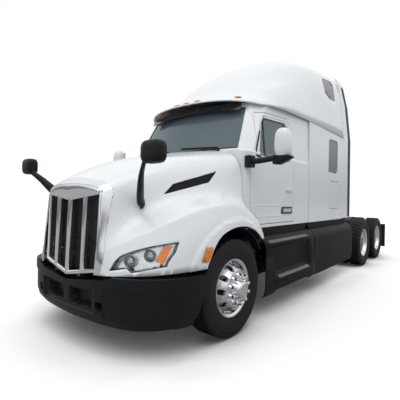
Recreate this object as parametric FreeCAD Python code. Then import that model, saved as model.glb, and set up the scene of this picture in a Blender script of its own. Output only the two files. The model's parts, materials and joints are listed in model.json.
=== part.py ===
import FreeCAD, Part
import math
import os

os.makedirs("parts", exist_ok=True)

# Driving dimensions, in millimetres.
# X runs forward, Y to the truck's left, Z up. The ground is at zero and,
# while the pieces are made, X is zero at the front axle.
front_reach = 1250
rear_reach = 7450
first_drive_axle = -5220
tandem_spacing = 1320
tyre_radius = 510
tyre_width = 280
bead_radius = 286
flange_radius = 302
front_wheel_y = 1035
dual_spacing = 340
outer_dual_y = 1075
kingpin_y = 855
steer_limit = 40
rail_half_width = 432
rail_top = 990
rail_height = 270
rail_flange = 85
rail_wall = 8
panel = 25
skin_gap = 8
cab_floor = 1090
belt = 1900
cowl_x = -345
door_front = -480
door_rear = -1670
cab_rear = -2215
sleeper_front = -2225
sleeper_rear = -3960
cab_front_y = 1048
cab_rear_y = 1068
sleeper_y = 1075
roof_seam = 2680
roof_skin_depth = 30
roof_top = 3950
hood_pivot = (1195, 700)
hood_arm_y = 175
hood_arm_width = 25
arch_centre_z = 530
arch_radius = 622
liner_thickness = 12
liner_rear = -330
bumper_top = 720
bumper_bottom = 285
bumper_thickness = 22
bumper_bow = 2643
bumper_corner_y = 560
bumper_corner_radius = 799
bumper_end_x = 470
fifth_wheel_x = -5780
fifth_wheel_top = 1180
plate_thickness = 40
overrun = 50

shift_x = (rear_reach - front_reach) / 2
second_drive_axle = first_drive_axle - tandem_spacing
inner_dual_y = outer_dual_y - dual_spacing
rail_bottom = rail_top - rail_height
rail_rear = -7430

V = FreeCAD.Vector
X = V(1, 0, 0)
Y = V(0, 1, 0)
Z = V(0, 0, 1)
ORIGIN = V(0, 0, 0)
FAR = 10000


# Small helpers
def put(name, shape):
    """Write one piece, moved so that the truck's middle is at X zero."""
    piece = shape.copy()
    piece.translate(V(shift_x, 0, 0))
    piece.exportStep("parts/" + name + ".step")
    good = piece.isValid()
    print(name, len(piece.Solids), "valid" if good else "NOT VALID", round(piece.Volume / 1e6, 2), "litres")


def box(x0, x1, y0, y1, z0, z1):
    return Part.makeBox(x1 - x0, y1 - y0, z1 - z0, V(x0, y0, z0))


def rod(start, axis, radius, length):
    return Part.makeCylinder(radius, length, start, axis)


def across(x, z, radius, y0, y1):
    """Round bar along Y."""
    return rod(V(x, y0, z), Y, radius, y1 - y0)


def upright(x, y, radius, z0, z1):
    return rod(V(x, y, z0), Z, radius, z1 - z0)


def lengthwise(y, z, radius, x0, x1):
    return rod(V(x0, y, z), X, radius, x1 - x0)


def flip(shape):
    """The same piece on the truck's other side."""
    return shape.mirror(ORIGIN, Y)


def both(shape):
    return fuse([shape, flip(shape)])


def fuse(shapes):
    whole = shapes[0]
    if len(shapes) > 1:
        whole = shapes[0].fuse(shapes[1:])
    return whole


def cut(shape, tools):
    return shape.cut(Part.makeCompound(tools)) if len(tools) > 1 else shape.cut(tools[0])


def face_of(points):
    return Part.Face(Part.makePolygon([V(*p) for p in points] + [V(*points[0])]))


def side_prism(outline, y0, y1):
    """Outline in X and Z, carried along Y."""
    return face_of([(x, y0, z) for x, z in outline]).extrude(V(0, y1 - y0, 0))


def plan_prism(outline, z0, z1):
    """Outline in X and Y, carried along Z."""
    return face_of([(x, y, z0) for x, y in outline]).extrude(V(0, 0, z1 - z0))


def front_prism(outline, x0, x1):
    """Outline in Y and Z, carried along X."""
    return face_of([(x0, y, z) for y, z in outline]).extrude(V(x1 - x0, 0, 0))


def rounded(outline, radius):
    """An X and Z outline with its corners rounded, as a wire at Y zero."""
    edges = []
    count = len(outline)
    starts = []
    for i in range(count):
        before = V(outline[i - 1][0], 0, outline[i - 1][1])
        here = V(outline[i][0], 0, outline[i][1])
        after = V(outline[(i + 1) % count][0], 0, outline[(i + 1) % count][1])
        into = (before - here).normalize()
        out = (after - here).normalize()
        half = into.getAngle(out) / 2
        leg = radius / math.tan(half)
        middle = here + (into + out).normalize() * (radius / math.sin(half) - radius)
        starts.append((here + into * leg, middle, here + out * leg))
    for i in range(count):
        first, middle, last = starts[i]
        edges.append(Part.Arc(first, middle, last).toShape())
        edges.append(Part.makeLine(last, starts[(i + 1) % count][0]))
    return Part.Wire(edges)


def rounded_side(outline, radius, y0, y1):
    wire = rounded(outline, radius)
    wire.translate(V(0, y0, 0))
    return Part.Face(wire).extrude(V(0, y1 - y0, 0))


def spun(profile, y):
    """Turned shape about the axle line: profile points are (offset along Y, radius)."""
    face = face_of([(0, y + along, radius) for along, radius in profile])
    return face.revolve(ORIGIN, Y, 360)


def ring_of(shape, count, x, z, start=0):
    """Copies of one shape turned about the Y line through X and Z."""
    copies = []
    for i in range(count):
        copy = shape.copy()
        copy.rotate(V(x, 0, z), Y, start + 360 * i / count)
        copies.append(copy)
    return copies


# Smooth skins from a net of points: rows run front to rear, columns from the middle to the side
def knots_for(count, degree):
    spans = count - degree
    knots = [i / spans for i in range(spans + 1)]
    inside = [1] * (spans - 1)
    return knots, [degree + 1] + inside + [degree + 1]


def smooth_face(net):
    rows = len(net)
    columns = len(net[0])
    degree_u = min(3, rows - 1)
    degree_v = min(3, columns - 1)
    knots_u, counts_u = knots_for(rows, degree_u)
    knots_v, counts_v = knots_for(columns, degree_v)
    surface = Part.BSplineSurface()
    surface.buildFromPolesMultsKnots(net, counts_u, counts_v, knots_u, knots_v, False, False, degree_u, degree_v)
    return surface


def both_halves(half):
    """A net given from the middle to the left side, completed on the right."""
    rows = []
    for row in half:
        left = [V(*p) for p in row]
        right = [V(p.x, -p.y, p.z) for p in left[:0:-1]]
        rows.append(right + left)
    return rows


def sunk(net, depth, inward):
    """The net moved in by a depth, square to itself."""
    moved = []
    rows = len(net)
    columns = len(net[0])
    for i in range(rows):
        line = []
        for j in range(columns):
            along = net[min(i + 1, rows - 1)][j] - net[max(i - 1, 0)][j]
            over = net[i][min(j + 1, columns - 1)] - net[i][max(j - 1, 0)]
            normal = along.cross(over).normalize()
            line.append(net[i][j] + normal * (depth * inward))
        moved.append(line)
    return moved


def skin_solid(net, depth, inward):
    """A panel between a smooth net and the same net sunk by a depth."""
    outer = smooth_face(net)
    inner = smooth_face(sunk(net, depth, inward))
    faces = [outer.toShape(), inner.toShape()]
    for pick in (0, 1):
        faces.append(Part.makeRuledSurface(outer.uIso(pick).toShape(), inner.uIso(pick).toShape()))
        faces.append(Part.makeRuledSurface(outer.vIso(pick).toShape(), inner.vIso(pick).toShape()))
    shell = Part.makeShell(faces)
    shell.sewShape()
    solid = Part.makeSolid(Part.Shell(shell.Faces))
    if solid.Volume < 0:
        solid.reverse()
    return solid


# Hood: the net follows the crest, the flank, the fender and the lower edge
hood_net = [
    [(1200, 0, 1560), (1190, 160, 1560), (1170, 340, 1545), (1140, 470, 1520), (1150, 490, 1400),
     (1170, 490, 1200), (1190, 485, 1050), (1200, 480, 930), (1210, 480, 830), (1215, 475, 745)],
    [(1100, 0, 1630), (1090, 180, 1630), (1070, 380, 1610), (1030, 520, 1570), (1020, 570, 1420),
     (1050, 575, 1220), (1090, 585, 1060), (1120, 600, 950), (1150, 610, 840), (1170, 610, 745)],
    [(850, 0, 1760), (840, 200, 1755), (820, 440, 1730), (790, 580, 1680), (780, 660, 1520),
     (800, 680, 1300), (840, 760, 1140), (920, 840, 1040), (1000, 880, 900), (1020, 880, 755)],
    [(500, 0, 1880), (500, 240, 1875), (490, 520, 1850), (470, 680, 1790), (460, 780, 1620),
     (470, 800, 1420), (490, 900, 1290), (550, 1060, 1220), (680, 1120, 1000), (780, 1090, 775)],
    [(150, 0, 1960), (150, 270, 1955), (150, 600, 1930), (140, 780, 1870), (130, 880, 1700),
     (130, 900, 1520), (130, 980, 1420), (150, 1150, 1360), (220, 1220, 1120), (350, 1200, 790)],
    [(-90, 0, 2005), (-90, 300, 2000), (-90, 660, 1975), (-95, 860, 1915), (-100, 950, 1750),
     (-100, 965, 1560), (-110, 1010, 1430), (-140, 1160, 1380), (-120, 1220, 1140), (-50, 1200, 800)],
    [(-335, 0, 2045), (-335, 320, 2040), (-335, 700, 2015), (-335, 920, 1960), (-335, 1020, 1800),
     (-335, 1030, 1560), (-330, 1040, 1370), (-450, 1145, 1225), (-540, 1200, 1070), (-600, 1200, 820)],
]
roof_net = [
    [(-420, 0, 2690), (-430, 250, 2690), (-500, 550, 2685), (-620, 780, 2670), (-780, 930, 2650), (-860, 985, 2635)],
    [(-600, 0, 2860), (-600, 280, 2850), (-660, 580, 2830), (-790, 840, 2780), (-920, 985, 2715), (-980, 1030, 2650)],
    [(-950, 0, 3200), (-950, 300, 3180), (-980, 600, 3120), (-1100, 850, 2980), (-1200, 1010, 2820), (-1250, 1058, 2660)],
    [(-1500, 0, 3550), (-1500, 320, 3530), (-1520, 640, 3440), (-1600, 870, 3220), (-1700, 1010, 2950), (-1750, 1068, 2670)],
    [(-2200, 0, 3820), (-2200, 340, 3810), (-2200, 680, 3720), (-2250, 900, 3480), (-2300, 1010, 3100), (-2300, 1075, 2680)],
    [(-3000, 0, 3950), (-3000, 360, 3945), (-3000, 740, 3890), (-3000, 940, 3680), (-3000, 1020, 3300), (-3000, 1080, 2680)],
    [(-3960, 0, 3950), (-3960, 380, 3950), (-3960, 780, 3920), (-3960, 970, 3750), (-3960, 1030, 3350), (-3960, 1085, 2680)],
]


inward_hood = 1


# Hood and what rides on it
vent_outline = [(820, 1450), (700, 1572), (60, 1715), (170, 1590)]
lamp_outline = [(624, 792), (659, 874), (694, 922), (791, 971), (909, 1013), (1051, 1044), (1047, 960), (1021, 877),
                (1014, 835), (976, 827), (800, 784), (762, 821)]
grille_top = (1156, 482, 1470)
grille_low = (1205, 475, 760)
grille_tip = (1232, 0, 690)
grille_crown = (1168, 0, 1500)


def arch_space(radius, y0, y1):
    """Everything inside the wheel arch: a half round with an open foot."""
    return fuse([across(0, arch_centre_z, radius, y0, y1),
                 box(-radius, radius, y0, y1, 0, arch_centre_z),
                 side_prism([(-radius, arch_centre_z), (-FAR, arch_centre_z), (-FAR, 0), (-radius, 0)], y0, y1)])


def vent_prism(y0, y1):
    return rounded_side(vent_outline, 14, y0, y1)


def lamp_prism():
    return front_prism(lamp_outline, 480, 1300)


def hood_skin(depth):
    return skin_solid(both_halves(hood_net), depth, inward_hood)


def hood_shell():
    arch = arch_space(arch_radius, 590, 1300)
    vent = vent_prism(700, 1100)
    lamp = lamp_prism()
    marker = marker_prism()
    shell = cut(hood_skin(panel), [arch, flip(arch), vent, flip(vent), lamp, flip(lamp), marker, flip(marker)])
    pivot_x, pivot_z = hood_pivot
    arm_y = hood_arm_y + hood_arm_width
    pivot_arm = fuse([side_prism([(1085, 895), (1120, 895), (1120, 712), (pivot_x, 712), (pivot_x, 682), (1085, 682)],
                                 hood_arm_y, arm_y), across(pivot_x, pivot_z, 14, hood_arm_y, arm_y)])
    pivot_arm = pivot_arm.cut(across(pivot_x, pivot_z, 9.1, hood_arm_y - 10, arm_y + 10))
    tie_bar = box(1085, 1118, -590, 590, 855, 895)
    return fuse([shell, tie_bar, pivot_arm, flip(pivot_arm)])


def wheel_liner():
    tube = across(0, arch_centre_z, arch_radius, 628, 1185)
    tube = tube.cut(across(0, arch_centre_z, arch_radius - liner_thickness, 640, 1300))
    below = box(-FAR, FAR, 600, 1300, -FAR, 860)
    behind = box(-FAR, liner_rear, 600, cab_front_y + 25, 0, FAR)
    return cut(tube, [below, behind, hood_skin(panel), marker_prism()])


def splash_panel():
    """Fixed rear quarter of the arch lining, below the cab's corner."""
    tube = across(0, arch_centre_z, arch_radius, 628, cab_front_y + 15)
    tube = tube.cut(across(0, arch_centre_z, arch_radius - liner_thickness, 600, 1300))
    keep = box(-FAR, liner_rear - 8, 600, 1300, 430, cab_floor)
    return tube.common(keep)


def grille_frame():
    """Chrome surround with a vee front, and the upright bars."""
    outline = [(-482, 1470), (0, 1500), (482, 1470), (475, 760), (0, 690), (-475, 760)]
    hole = [(-440, 1395), (0, 1420), (440, 1395), (432, 800), (0, 735), (-432, 800)]
    frame = front_prism(outline, 1060, 1300).cut(front_prism(hole, 1000, 1400))
    frame = frame.common(vee_slab(0, 46))
    bars = []
    for y in (-330, -110, 110, 330):
        bar = front_prism([(y - 18, 1460), (y + 18, 1460), (y + 11, 730), (y - 11, 730)], 1060, 1300)
        bars.append(bar.common(vee_slab(-4, 50)).common(front_prism(outline, 1000, 1400)))
    return cut(fuse([frame] + bars), [hood_skin(panel), box(1000, 1122, -600, 600, 850, 900)])


def vee_slab(front, depth):
    """The space behind the grille's vee front, as thick as asked."""
    top = [(1168 - front, 0), (1150 - front, 500), (1150 - front - depth, 500), (1168 - front - depth, 0),
           (1150 - front - depth, -500), (1150 - front, -500)]
    low = [(x + 72 * 1.0, y) if abs(y) < 1 else (x + 62, y) for x, y in top]
    wires = []
    for points, z in ((low, 680), (top, 1520)):
        wires.append(Part.makePolygon([V(x, y, z) for x, y in points + points[:1]]))
    return Part.makeLoft(wires, True, True)


def grille_mesh():
    hole = [(-455, 1410), (0, 1436), (455, 1410), (447, 788), (0, 722), (-447, 788)]
    return front_prism(hole, 1000, 1300).common(vee_slab(46, 10)).cut(hood_skin(panel))


def headlamp():
    skin = hood_skin(panel + 6)
    return skin.common(lamp_prism())


def hood_mirror():
    pad = across(880, 1390, 45, 690, 760)
    arm = Part.makeLoft([circle((880, 740, 1390), (0.3, 0.5, 1), 26), circle((1000, 960, 1640), (0.3, 0.5, 1), 20)], True)
    neck = Part.makeLoft([circle((1000, 960, 1640), (0.1, 0.4, 1), 20), circle((1070, 1080, 1725), (0.1, 0.4, 1), 18)], True)
    head = rounded_head((1075, 1110, 1790), 120, 190, 150, 35)
    return fuse([pad, arm, neck, head]).cut(hood_skin(panel))


def circle(centre, normal, radius):
    return Part.Wire(Part.makeCircle(radius, V(*centre), V(*normal)))


def rounded_head(centre, deep, wide, tall, radius):
    x, y, z = centre
    block = box(x - deep / 2, x + deep / 2, y - wide / 2, y + wide / 2, z - tall / 2, z + tall / 2)
    return block.makeFillet(radius, block.Edges)


def marker_prism():
    return side_prism([(458, 960), (385, 970), (467, 851), (529, 846)], 1050, 1300)


def fender_marker():
    return hood_skin(panel).common(marker_prism())


# Cab and sleeper
def cab_section(z, front_middle, front_corner, corner_y, side_x, side_y, rear_y, inset):
    """One level of the cab, with its bowed front, set in by the wall thickness."""
    t = inset
    front = Part.Arc(V(front_corner - t, -corner_y + t, z), V(front_middle - t, 0, z),
                     V(front_corner - t, corner_y - t, z)).toShape()
    rear = cab_rear - 1 if t == 0 else cab_rear - 100
    points = [V(front_corner - t, corner_y - t, z), V(side_x - t, side_y - t, z), V(rear, rear_y - t, z),
              V(rear, -rear_y + t, z), V(side_x - t, -side_y + t, z), V(front_corner - t, -corner_y + t, z)]
    edges = [front] + [Part.makeLine(points[i], points[i + 1]) for i in range(5)]
    return Part.Wire(Part.sortEdges(edges)[0])


def cab_solid(inset, floor=0):
    levels = [cab_section(cab_floor + floor, cowl_x, cowl_x - 6, 1020, cowl_x - 45, cab_front_y, cab_rear_y, inset),
              cab_section(1995, cowl_x, cowl_x - 6, 1000, cowl_x - 60, cab_front_y, cab_rear_y, inset),
              cab_section(2030, -370, -430, 930, -560, 1035, cab_rear_y - 8, inset),
              cab_section(roof_seam, -640, -800, 850, -960, 985, 1040, inset)]
    return Part.makeLoft(levels, True, True)


def cab_level(inset):
    return cab_solid(inset)


door_outline = [(-480, 1810), (-600, 1975), (-760, 2530), (-1500, 2570), (-1600, 2480), (-1670, 1900), (-1670, 1135),
                (-650, 1135), (-535, 1260), (-480, 1410)]
door_window = [(-700, 1975), (-790, 2400), (-850, 2470), (-1430, 2500), (-1500, 2440), (-1540, 1985)]


def grow(outline, by):
    """An outline moved out by a distance, square to each side."""
    wire = Part.makePolygon([V(x, 0, z) for x, z in outline + outline[:1]])
    grown = wire.makeOffset2D(by, 2)
    return [(v.X, v.Z) for v in grown.OrderedVertexes]


def door_space(y0, y1):
    return side_prism(grow(door_outline, skin_gap), y0, y1)


def screen_prism(margin):
    outline = [(-900 + margin, 2045 + margin), (900 - margin, 2045 + margin), (815 - margin, 2610 - margin),
               (-815 + margin, 2610 - margin)]
    return front_prism(outline, -900, -300)


def cab_shell():
    hollow = cab_solid(45)
    hollow = hollow.common(box(-FAR, FAR, -2000, 2000, cab_floor + 45, roof_seam + 1))
    shell = cab_solid(0).cut(hollow)
    door = door_space(900, 1200)
    shell = cut(shell, [door, flip(door), screen_prism(0)])
    pins, notches = hinge_fixed(door_front + 4, cab_front_y, [1480, 1740])
    shell = cut(shell, notches + [flip(n) for n in notches])
    return fuse([shell] + pins + [flip(p) for p in pins])


def hinge_fixed(x, y, heights):
    """Pins that stay on the cab, and the room that the moving barrels need."""
    pins = []
    notches = []
    for z in heights:
        pins.append(upright(x, y, 3.4, z - 40, z + 40))
        pins.append(upright(x, y, 8, z - 45, z - 22))
        pins.append(upright(x, y, 8, z + 22, z + 45))
        notches.append(upright(x, y, 14, z - 21, z + 21))
    return pins, notches


def hinge_moving(x, y, heights):
    barrels = []
    notches = []
    for z in heights:
        barrels.append(upright(x, y, 8, z - 20, z + 20).cut(upright(x, y, 3.45, z - 30, z + 30)))
        notches.append(upright(x, y, 14, z - 51, z - 21))
        notches.append(upright(x, y, 14, z + 21, z + 51))
    return barrels, notches


def door_panel():
    slab = cab_solid(0).cut(cab_solid(60)).common(side_prism(door_outline, 900, 1200))
    slab = slab.cut(side_prism(door_window, 900, 1200))
    barrels, notches = hinge_moving(door_front + 4, cab_front_y, [1480, 1740])
    slab = cut(slab, notches)
    handle = box(-1600, -1420, 1060, 1085, 1560, 1590)
    grip_feet = [box(-1600, -1575, 1045, 1085, 1560, 1590), box(-1445, -1420, 1045, 1085, 1560, 1590)]
    return fuse([slab, handle] + grip_feet + barrels)


def door_glass():
    pane = cab_solid(22).cut(cab_solid(30)).common(side_prism(door_window, 900, 1200))
    return pane


def windscreen():
    return cab_solid(10).cut(cab_solid(20)).common(screen_prism(0))


def sleeper_section(z, y, inset):
    t = inset
    points = [V(sleeper_front, -y + t, z), V(sleeper_front, y - t, z), V(sleeper_rear + t, y - t, z),
              V(sleeper_rear + t, -y + t, z)]
    return Part.makePolygon(points + points[:1])


def sleeper_solid(inset, rise=0):
    levels = [sleeper_section(cab_floor + rise, sleeper_y, inset), sleeper_section(1900, sleeper_y, inset),
              sleeper_section(roof_seam, sleeper_y - 5, inset)]
    return Part.makeLoft(levels, True, True)


lower_window = [(-3120, 1950), (-3130, 2500), (-3180, 2545), (-3580, 2555), (-3640, 2500), (-3640, 1990), (-3590, 1940)]
upper_window = [(-2960, 3330), (-2900, 3600), (-3480, 3640), (-3560, 3300), (-3300, 3260)]
locker_outline = [(-3200, 1300), (-3200, 1790), (-3690, 1790), (-3690, 1300)]


def sleeper_shell():
    hollow = sleeper_solid(45).common(box(-FAR, FAR, -2000, 2000, cab_floor + 45, roof_seam + 1))
    shell = sleeper_solid(0).cut(hollow)
    window = side_prism(lower_window, 950, 1200)
    locker = side_prism(grow(locker_outline, skin_gap), 950, 1200)
    doorway = box(sleeper_front - 100, sleeper_front + 10, -950, 950, cab_floor + 45, roof_seam + 10)
    pins, notches = hinge_fixed(locker_outline[0][0] + 4, sleeper_y, [1400, 1690])
    shell = cut(shell, [window, flip(window), locker, flip(locker), doorway] + notches + [flip(n) for n in notches])
    back = roof_back()
    return fuse([shell, back] + pins + [flip(p) for p in pins])


def roof_back():
    """Rear wall of the raised roof, drawn inside the roof skin's rear edge."""
    inner = smooth_face(sunk(both_halves(roof_net), roof_skin_depth, 1))
    samples = [inner.value(1, i / 48) for i in range(49)]
    curve = Part.BSplineCurve()
    curve.interpolate([V(sleeper_rear, p.y, max(p.z, roof_seam)) for p in samples if p.z > roof_seam - 25])
    edge = curve.toShape()
    foot = Part.makeLine(edge.Vertexes[0].Point, edge.Vertexes[1].Point)
    return Part.Face(Part.Wire([edge, foot])).extrude(V(40, 0, 0))


def locker_door():
    slab = sleeper_solid(0).cut(sleeper_solid(40)).common(side_prism(locker_outline, 950, 1200))
    barrels, notches = hinge_moving(locker_outline[0][0] + 4, sleeper_y, [1400, 1690])
    slab = cut(slab, notches)
    latch = box(-3660, -3610, sleeper_y - 5, sleeper_y + 10, 1520, 1590)
    return fuse([slab, latch] + barrels)


def sleeper_glass():
    low = sleeper_solid(12).cut(sleeper_solid(20)).common(side_prism(lower_window, 950, 1200))
    return both(low)


def roof_skin(depth):
    return skin_solid(both_halves(roof_net), depth, 1)


def roof_fairing():
    window = side_prism(upper_window, 700, 1200)
    return cut(roof_skin(roof_skin_depth), [window, flip(window), cab_solid(0), sleeper_solid(0)])


def upper_glass():
    window = side_prism(upper_window, 700, 1200)
    inner = skin_solid(sunk_net(roof_net, 8), 8, 1)
    return both(inner.common(window))


def sunk_net(half, depth):
    return sunk(both_halves(half), depth, 1)


extender_levels = [(1100, -4430, 1075), (2680, -4400, 1072), (3350, -4310, 1026), (3750, -4215, 960), (3880, -4160, 900)]


def upright_band(front_xs, width, levels):
    """A band of panel between a front edge and a depth behind it, level by level."""
    wires = []
    for front, (z, rear, y) in zip(front_xs, levels):
        points = [V(front, y - width, z), V(front, y, z), V(rear, y, z), V(rear, y - width, z)]
        wires.append(Part.makePolygon(points + points[:1]))
    return Part.makeLoft(wires, True, True)


def side_extender():
    return upright_band([sleeper_rear] * len(extender_levels), 25, extender_levels)


def extender_edge():
    levels = [(z, x - 70, y - 5) for z, x, y in extender_levels]
    return upright_band([x for z, x, y in extender_levels], 15, levels)


def sun_visor():
    """Dark band below the brow, ahead of the windscreen's top."""
    outline = [(-790, 2560), (0, 2585), (790, 2560), (780, 2655), (0, 2668), (-780, 2655)]
    band = cab_solid(-60).cut(cab_solid(-48)).common(front_prism(outline, -1000, -300))
    studs = [lengthwise(y, 2640, 10, -900, -500) for y in (-600, 0, 600)]
    stud = fuse(studs).common(cab_solid(-50)).cut(cab_solid(0))
    return band.fuse(stud)


# Inside the cab
def dashboard():
    body = side_prism([(-402, 1700), (-402, 1975), (-640, 1985), (-760, 1900), (-740, 1640), (-560, 1500), (-402, 1450)],
                      -930, 930)
    column = rod(V(-660, 430, 1760), V(-0.75, 0, 0.45), 32, 210)
    ring = Part.makeTorus(225, 16, V(-840, 430, 1870), V(-0.75, 0, 0.45))
    hub = rod(V(-800, 430, 1846), V(-0.75, 0, 0.45), 55, 40)
    spokes = []
    for angle in (0, 120, 240):
        spoke = box(-10, 10, 0, 225, -8, 8)
        spoke.Placement = FreeCAD.Placement(V(-840, 430, 1870), FreeCAD.Rotation(Z, V(-0.75, 0, 0.45)))
        spoke.rotate(V(-840, 430, 1870), V(-0.75, 0, 0.45), angle)
        spokes.append(spoke)
    return fuse([body, column, hub, ring] + spokes)


def cushions():
    pieces = []
    for y in (430, -430):
        pieces.append(box(-1560, -1050, y - 250, y + 250, 1480, 1600))
        pieces.append(side_prism([(-1500, 1600), (-1620, 1600), (-1720, 2250), (-1620, 2250)], y - 240, y + 240))
        pieces.append(box(-1450, -1150, y - 150, y + 150, cab_floor + 45, 1480))
    bunk = box(-3900, -2950, -1015, 1015, 1650, 1800)
    base = box(-3900, -2980, -1015, 1015, cab_floor + 45, 1650)
    return fuse(pieces[:3]), fuse(pieces[3:]), bunk, base


# Frame, axles, drive
def c_rail():
    web = box(rail_rear, 1010, rail_half_width - rail_wall, rail_half_width, rail_bottom, rail_top)
    top = box(rail_rear, 1010, rail_half_width - rail_flange, rail_half_width, rail_top - rail_wall, rail_top)
    low = box(rail_rear, 1010, rail_half_width - rail_flange, rail_half_width, rail_bottom, rail_bottom + rail_wall)
    return fuse([web, top, low])


def frame_rails():
    pieces = [c_rail(), flip(c_rail())]
    reach = rail_half_width - rail_wall
    for x in (930, -1900, -3300, -4500, -7420):
        pieces.append(box(x, x + 30, -reach, reach, rail_bottom + rail_wall, rail_top - rail_wall))
    pieces.append(box(first_drive_axle - tandem_spacing / 2 - 80, first_drive_axle - tandem_spacing / 2 + 80,
                      -reach, reach, rail_bottom + rail_wall, rail_top - rail_wall))
    for x in (-500, -2100, -3850):
        for y in (390, -390):
            pieces.append(box(x - 60, x + 60, y - 40, y + 40, rail_top, cab_floor))
    cross = box(980, 1010, -reach, reach, 660, rail_top - rail_wall)
    pivot_x, pivot_z = hood_pivot
    bracket_y = hood_arm_y + hood_arm_width + 5
    bracket = side_prism([(1010, 780), (1010, 660), (1150, 660), (1180, 682), (pivot_x + 16, 690), (pivot_x + 8, 711),
                          (1160, 711)], bracket_y, bracket_y + 20)
    pin = across(pivot_x, pivot_z, 9, hood_arm_y - 5, bracket_y + 10)
    bar = box(940, 1010, rail_half_width, rail_half_width + 19, 640, 960)
    pieces += [cross, bracket, flip(bracket), pin, flip(pin), bar, flip(bar)]
    deck = box(-5000, -4560, -reach, reach, rail_top, rail_top + 6)
    pieces.append(deck)
    return fuse(pieces).cut(rod(V(-4900, 0, 600), V(3400, 0, 90), 75, 3401))


def front_axle():
    half = [(0, 380), (560, 380), (760, 455), (940, 455), (940, 565), (740, 565), (540, 480), (0, 480)]
    whole = half + [(-y, z) for y, z in half[::-1] if y > 0]
    beam = front_prism(whole, -48, 48)
    relief = front_prism([(0, 402), (550, 402), (700, 462), (700, 520), (545, 458), (0, 458)], 18, 60)
    beam = cut(beam, [relief, flip(relief), relief.mirror(ORIGIN, X), flip(relief.mirror(ORIGIN, X))])
    eyes = [upright(0, kingpin_y, 52, 455, 565), upright(0, -kingpin_y, 52, 455, 565)]
    trim = box(-60, 60, kingpin_y + 20, 1000, 400, 600)
    beam = cut(beam, [trim, flip(trim)])
    beam = fuse([beam] + eyes)
    holes = [upright(0, kingpin_y, 22.05, 400, 600), upright(0, -kingpin_y, 22.05, 400, 600)]
    beam = cut(beam, holes)
    spring = side_prism([(-760, 640), (-400, 545), (-70, 480), (70, 480), (400, 545), (760, 640), (760, 672),
                         (400, 590), (70, 560), (-70, 560), (-400, 590), (-760, 672)], 387, 477)
    hangers = []
    for x in (-760, 720):
        hangers.append(box(x, x + 40, 387, 432, 640, rail_bottom))
    return fuse([beam, spring, flip(spring)] + hangers + [flip(h) for h in hangers])


def drive_axle(x):
    tube = across(x, tyre_radius, 70, -640, 640)
    bowl = lengthwise(0, tyre_radius, 205, x - 110, x + 110)
    nose = Part.makeCone(150, 85, 150, V(x + 110, 0, tyre_radius), X)
    spindle = across(x, tyre_radius, 48, -1000, 1000)
    return fuse([tube, bowl, nose, spindle])


def drive_axles():
    front = drive_axle(first_drive_axle)
    rear = drive_axle(second_drive_axle)
    shaft = rod(V(-4900, 0, 600), V(3400, 0, 90), 50, 3401)
    between = lengthwise(0, tyre_radius + 30, 45, second_drive_axle, first_drive_axle)
    joint = across(-4900, 600, 68, -45, 45)
    drop = rod(V(-4900, 0, 600), V(-180, 0, -75), 40, 195)
    return fuse([front, rear, shaft, between, joint, drop])


def rear_suspension():
    pieces = []
    for x in (first_drive_axle, second_drive_axle):
        arm = side_prism([(x + 620, 800), (x + 560, 620), (x - 100, 575), (x - 480, 560), (x - 480, 600), (x - 100, 640),
                          (x + 520, 800)], 360, 430)
        bag = upright(x - 400, 395, 115, 600, 720)
        seat = box(x - 90, x + 90, 360, 430, 540, 640)
        hanger = box(x + 520, x + 620, 380, rail_half_width - rail_wall, 640, rail_bottom)
        link = fuse([arm, bag, seat, hanger]).cut(across(x, tyre_radius, 70, -640, 640))
        link = link.cut(box(-FAR, FAR, 300, 500, rail_bottom, FAR))
        pieces += [link, flip(link)]
    return Part.makeCompound(pieces)


def engine_block():
    block = box(-300, 760, -330, 330, 700, 1560)
    gearbox = box(-1100, -300, -240, 240, 640, 1060)
    mounts = [box(300, 400, 330, 424, 760, 900), box(300, 400, -424, -330, 760, 900),
              box(-800, -700, 240, 424, 760, 900), box(-800, -700, -424, -240, 760, 900)]
    return fuse([block, gearbox, lengthwise(0, 690, 60, -1490, -1100)] + mounts)


def radiator():
    core = box(860, 920, -425, 425, rail_top, 1480)
    feet = box(860, 920, -340, 340, rail_bottom + 60, rail_top)
    return core.fuse(feet)


def bumper_face(inset):
    """Plan of the bumper: a shallow middle arc with tighter arcs round to the wheels."""
    middle_x = front_reach - bumper_bow
    turn = math.asin(bumper_corner_y / bumper_bow)
    corner_x = middle_x + (bumper_bow - bumper_corner_radius) * math.cos(turn)
    corner_y = (bumper_bow - bumper_corner_radius) * math.sin(turn)
    outer = bumper_bow - inset
    corner = bumper_corner_radius - inset
    end = math.acos((bumper_end_x - corner_x) / bumper_corner_radius)

    def on_corner(angle, side):
        return V(corner_x + corner * math.cos(angle), side * (corner_y + corner * math.sin(angle)), 0)

    def on_middle(angle):
        return V(middle_x + outer * math.cos(angle), outer * math.sin(angle), 0)

    return [Part.Arc(on_corner(end, -1), on_corner((turn + end) / 2, -1), on_middle(-turn)).toShape(),
            Part.Arc(on_middle(-turn), on_middle(0), on_middle(turn)).toShape(),
            Part.Arc(on_middle(turn), on_corner((turn + end) / 2, 1), on_corner(end, 1)).toShape()]


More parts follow.
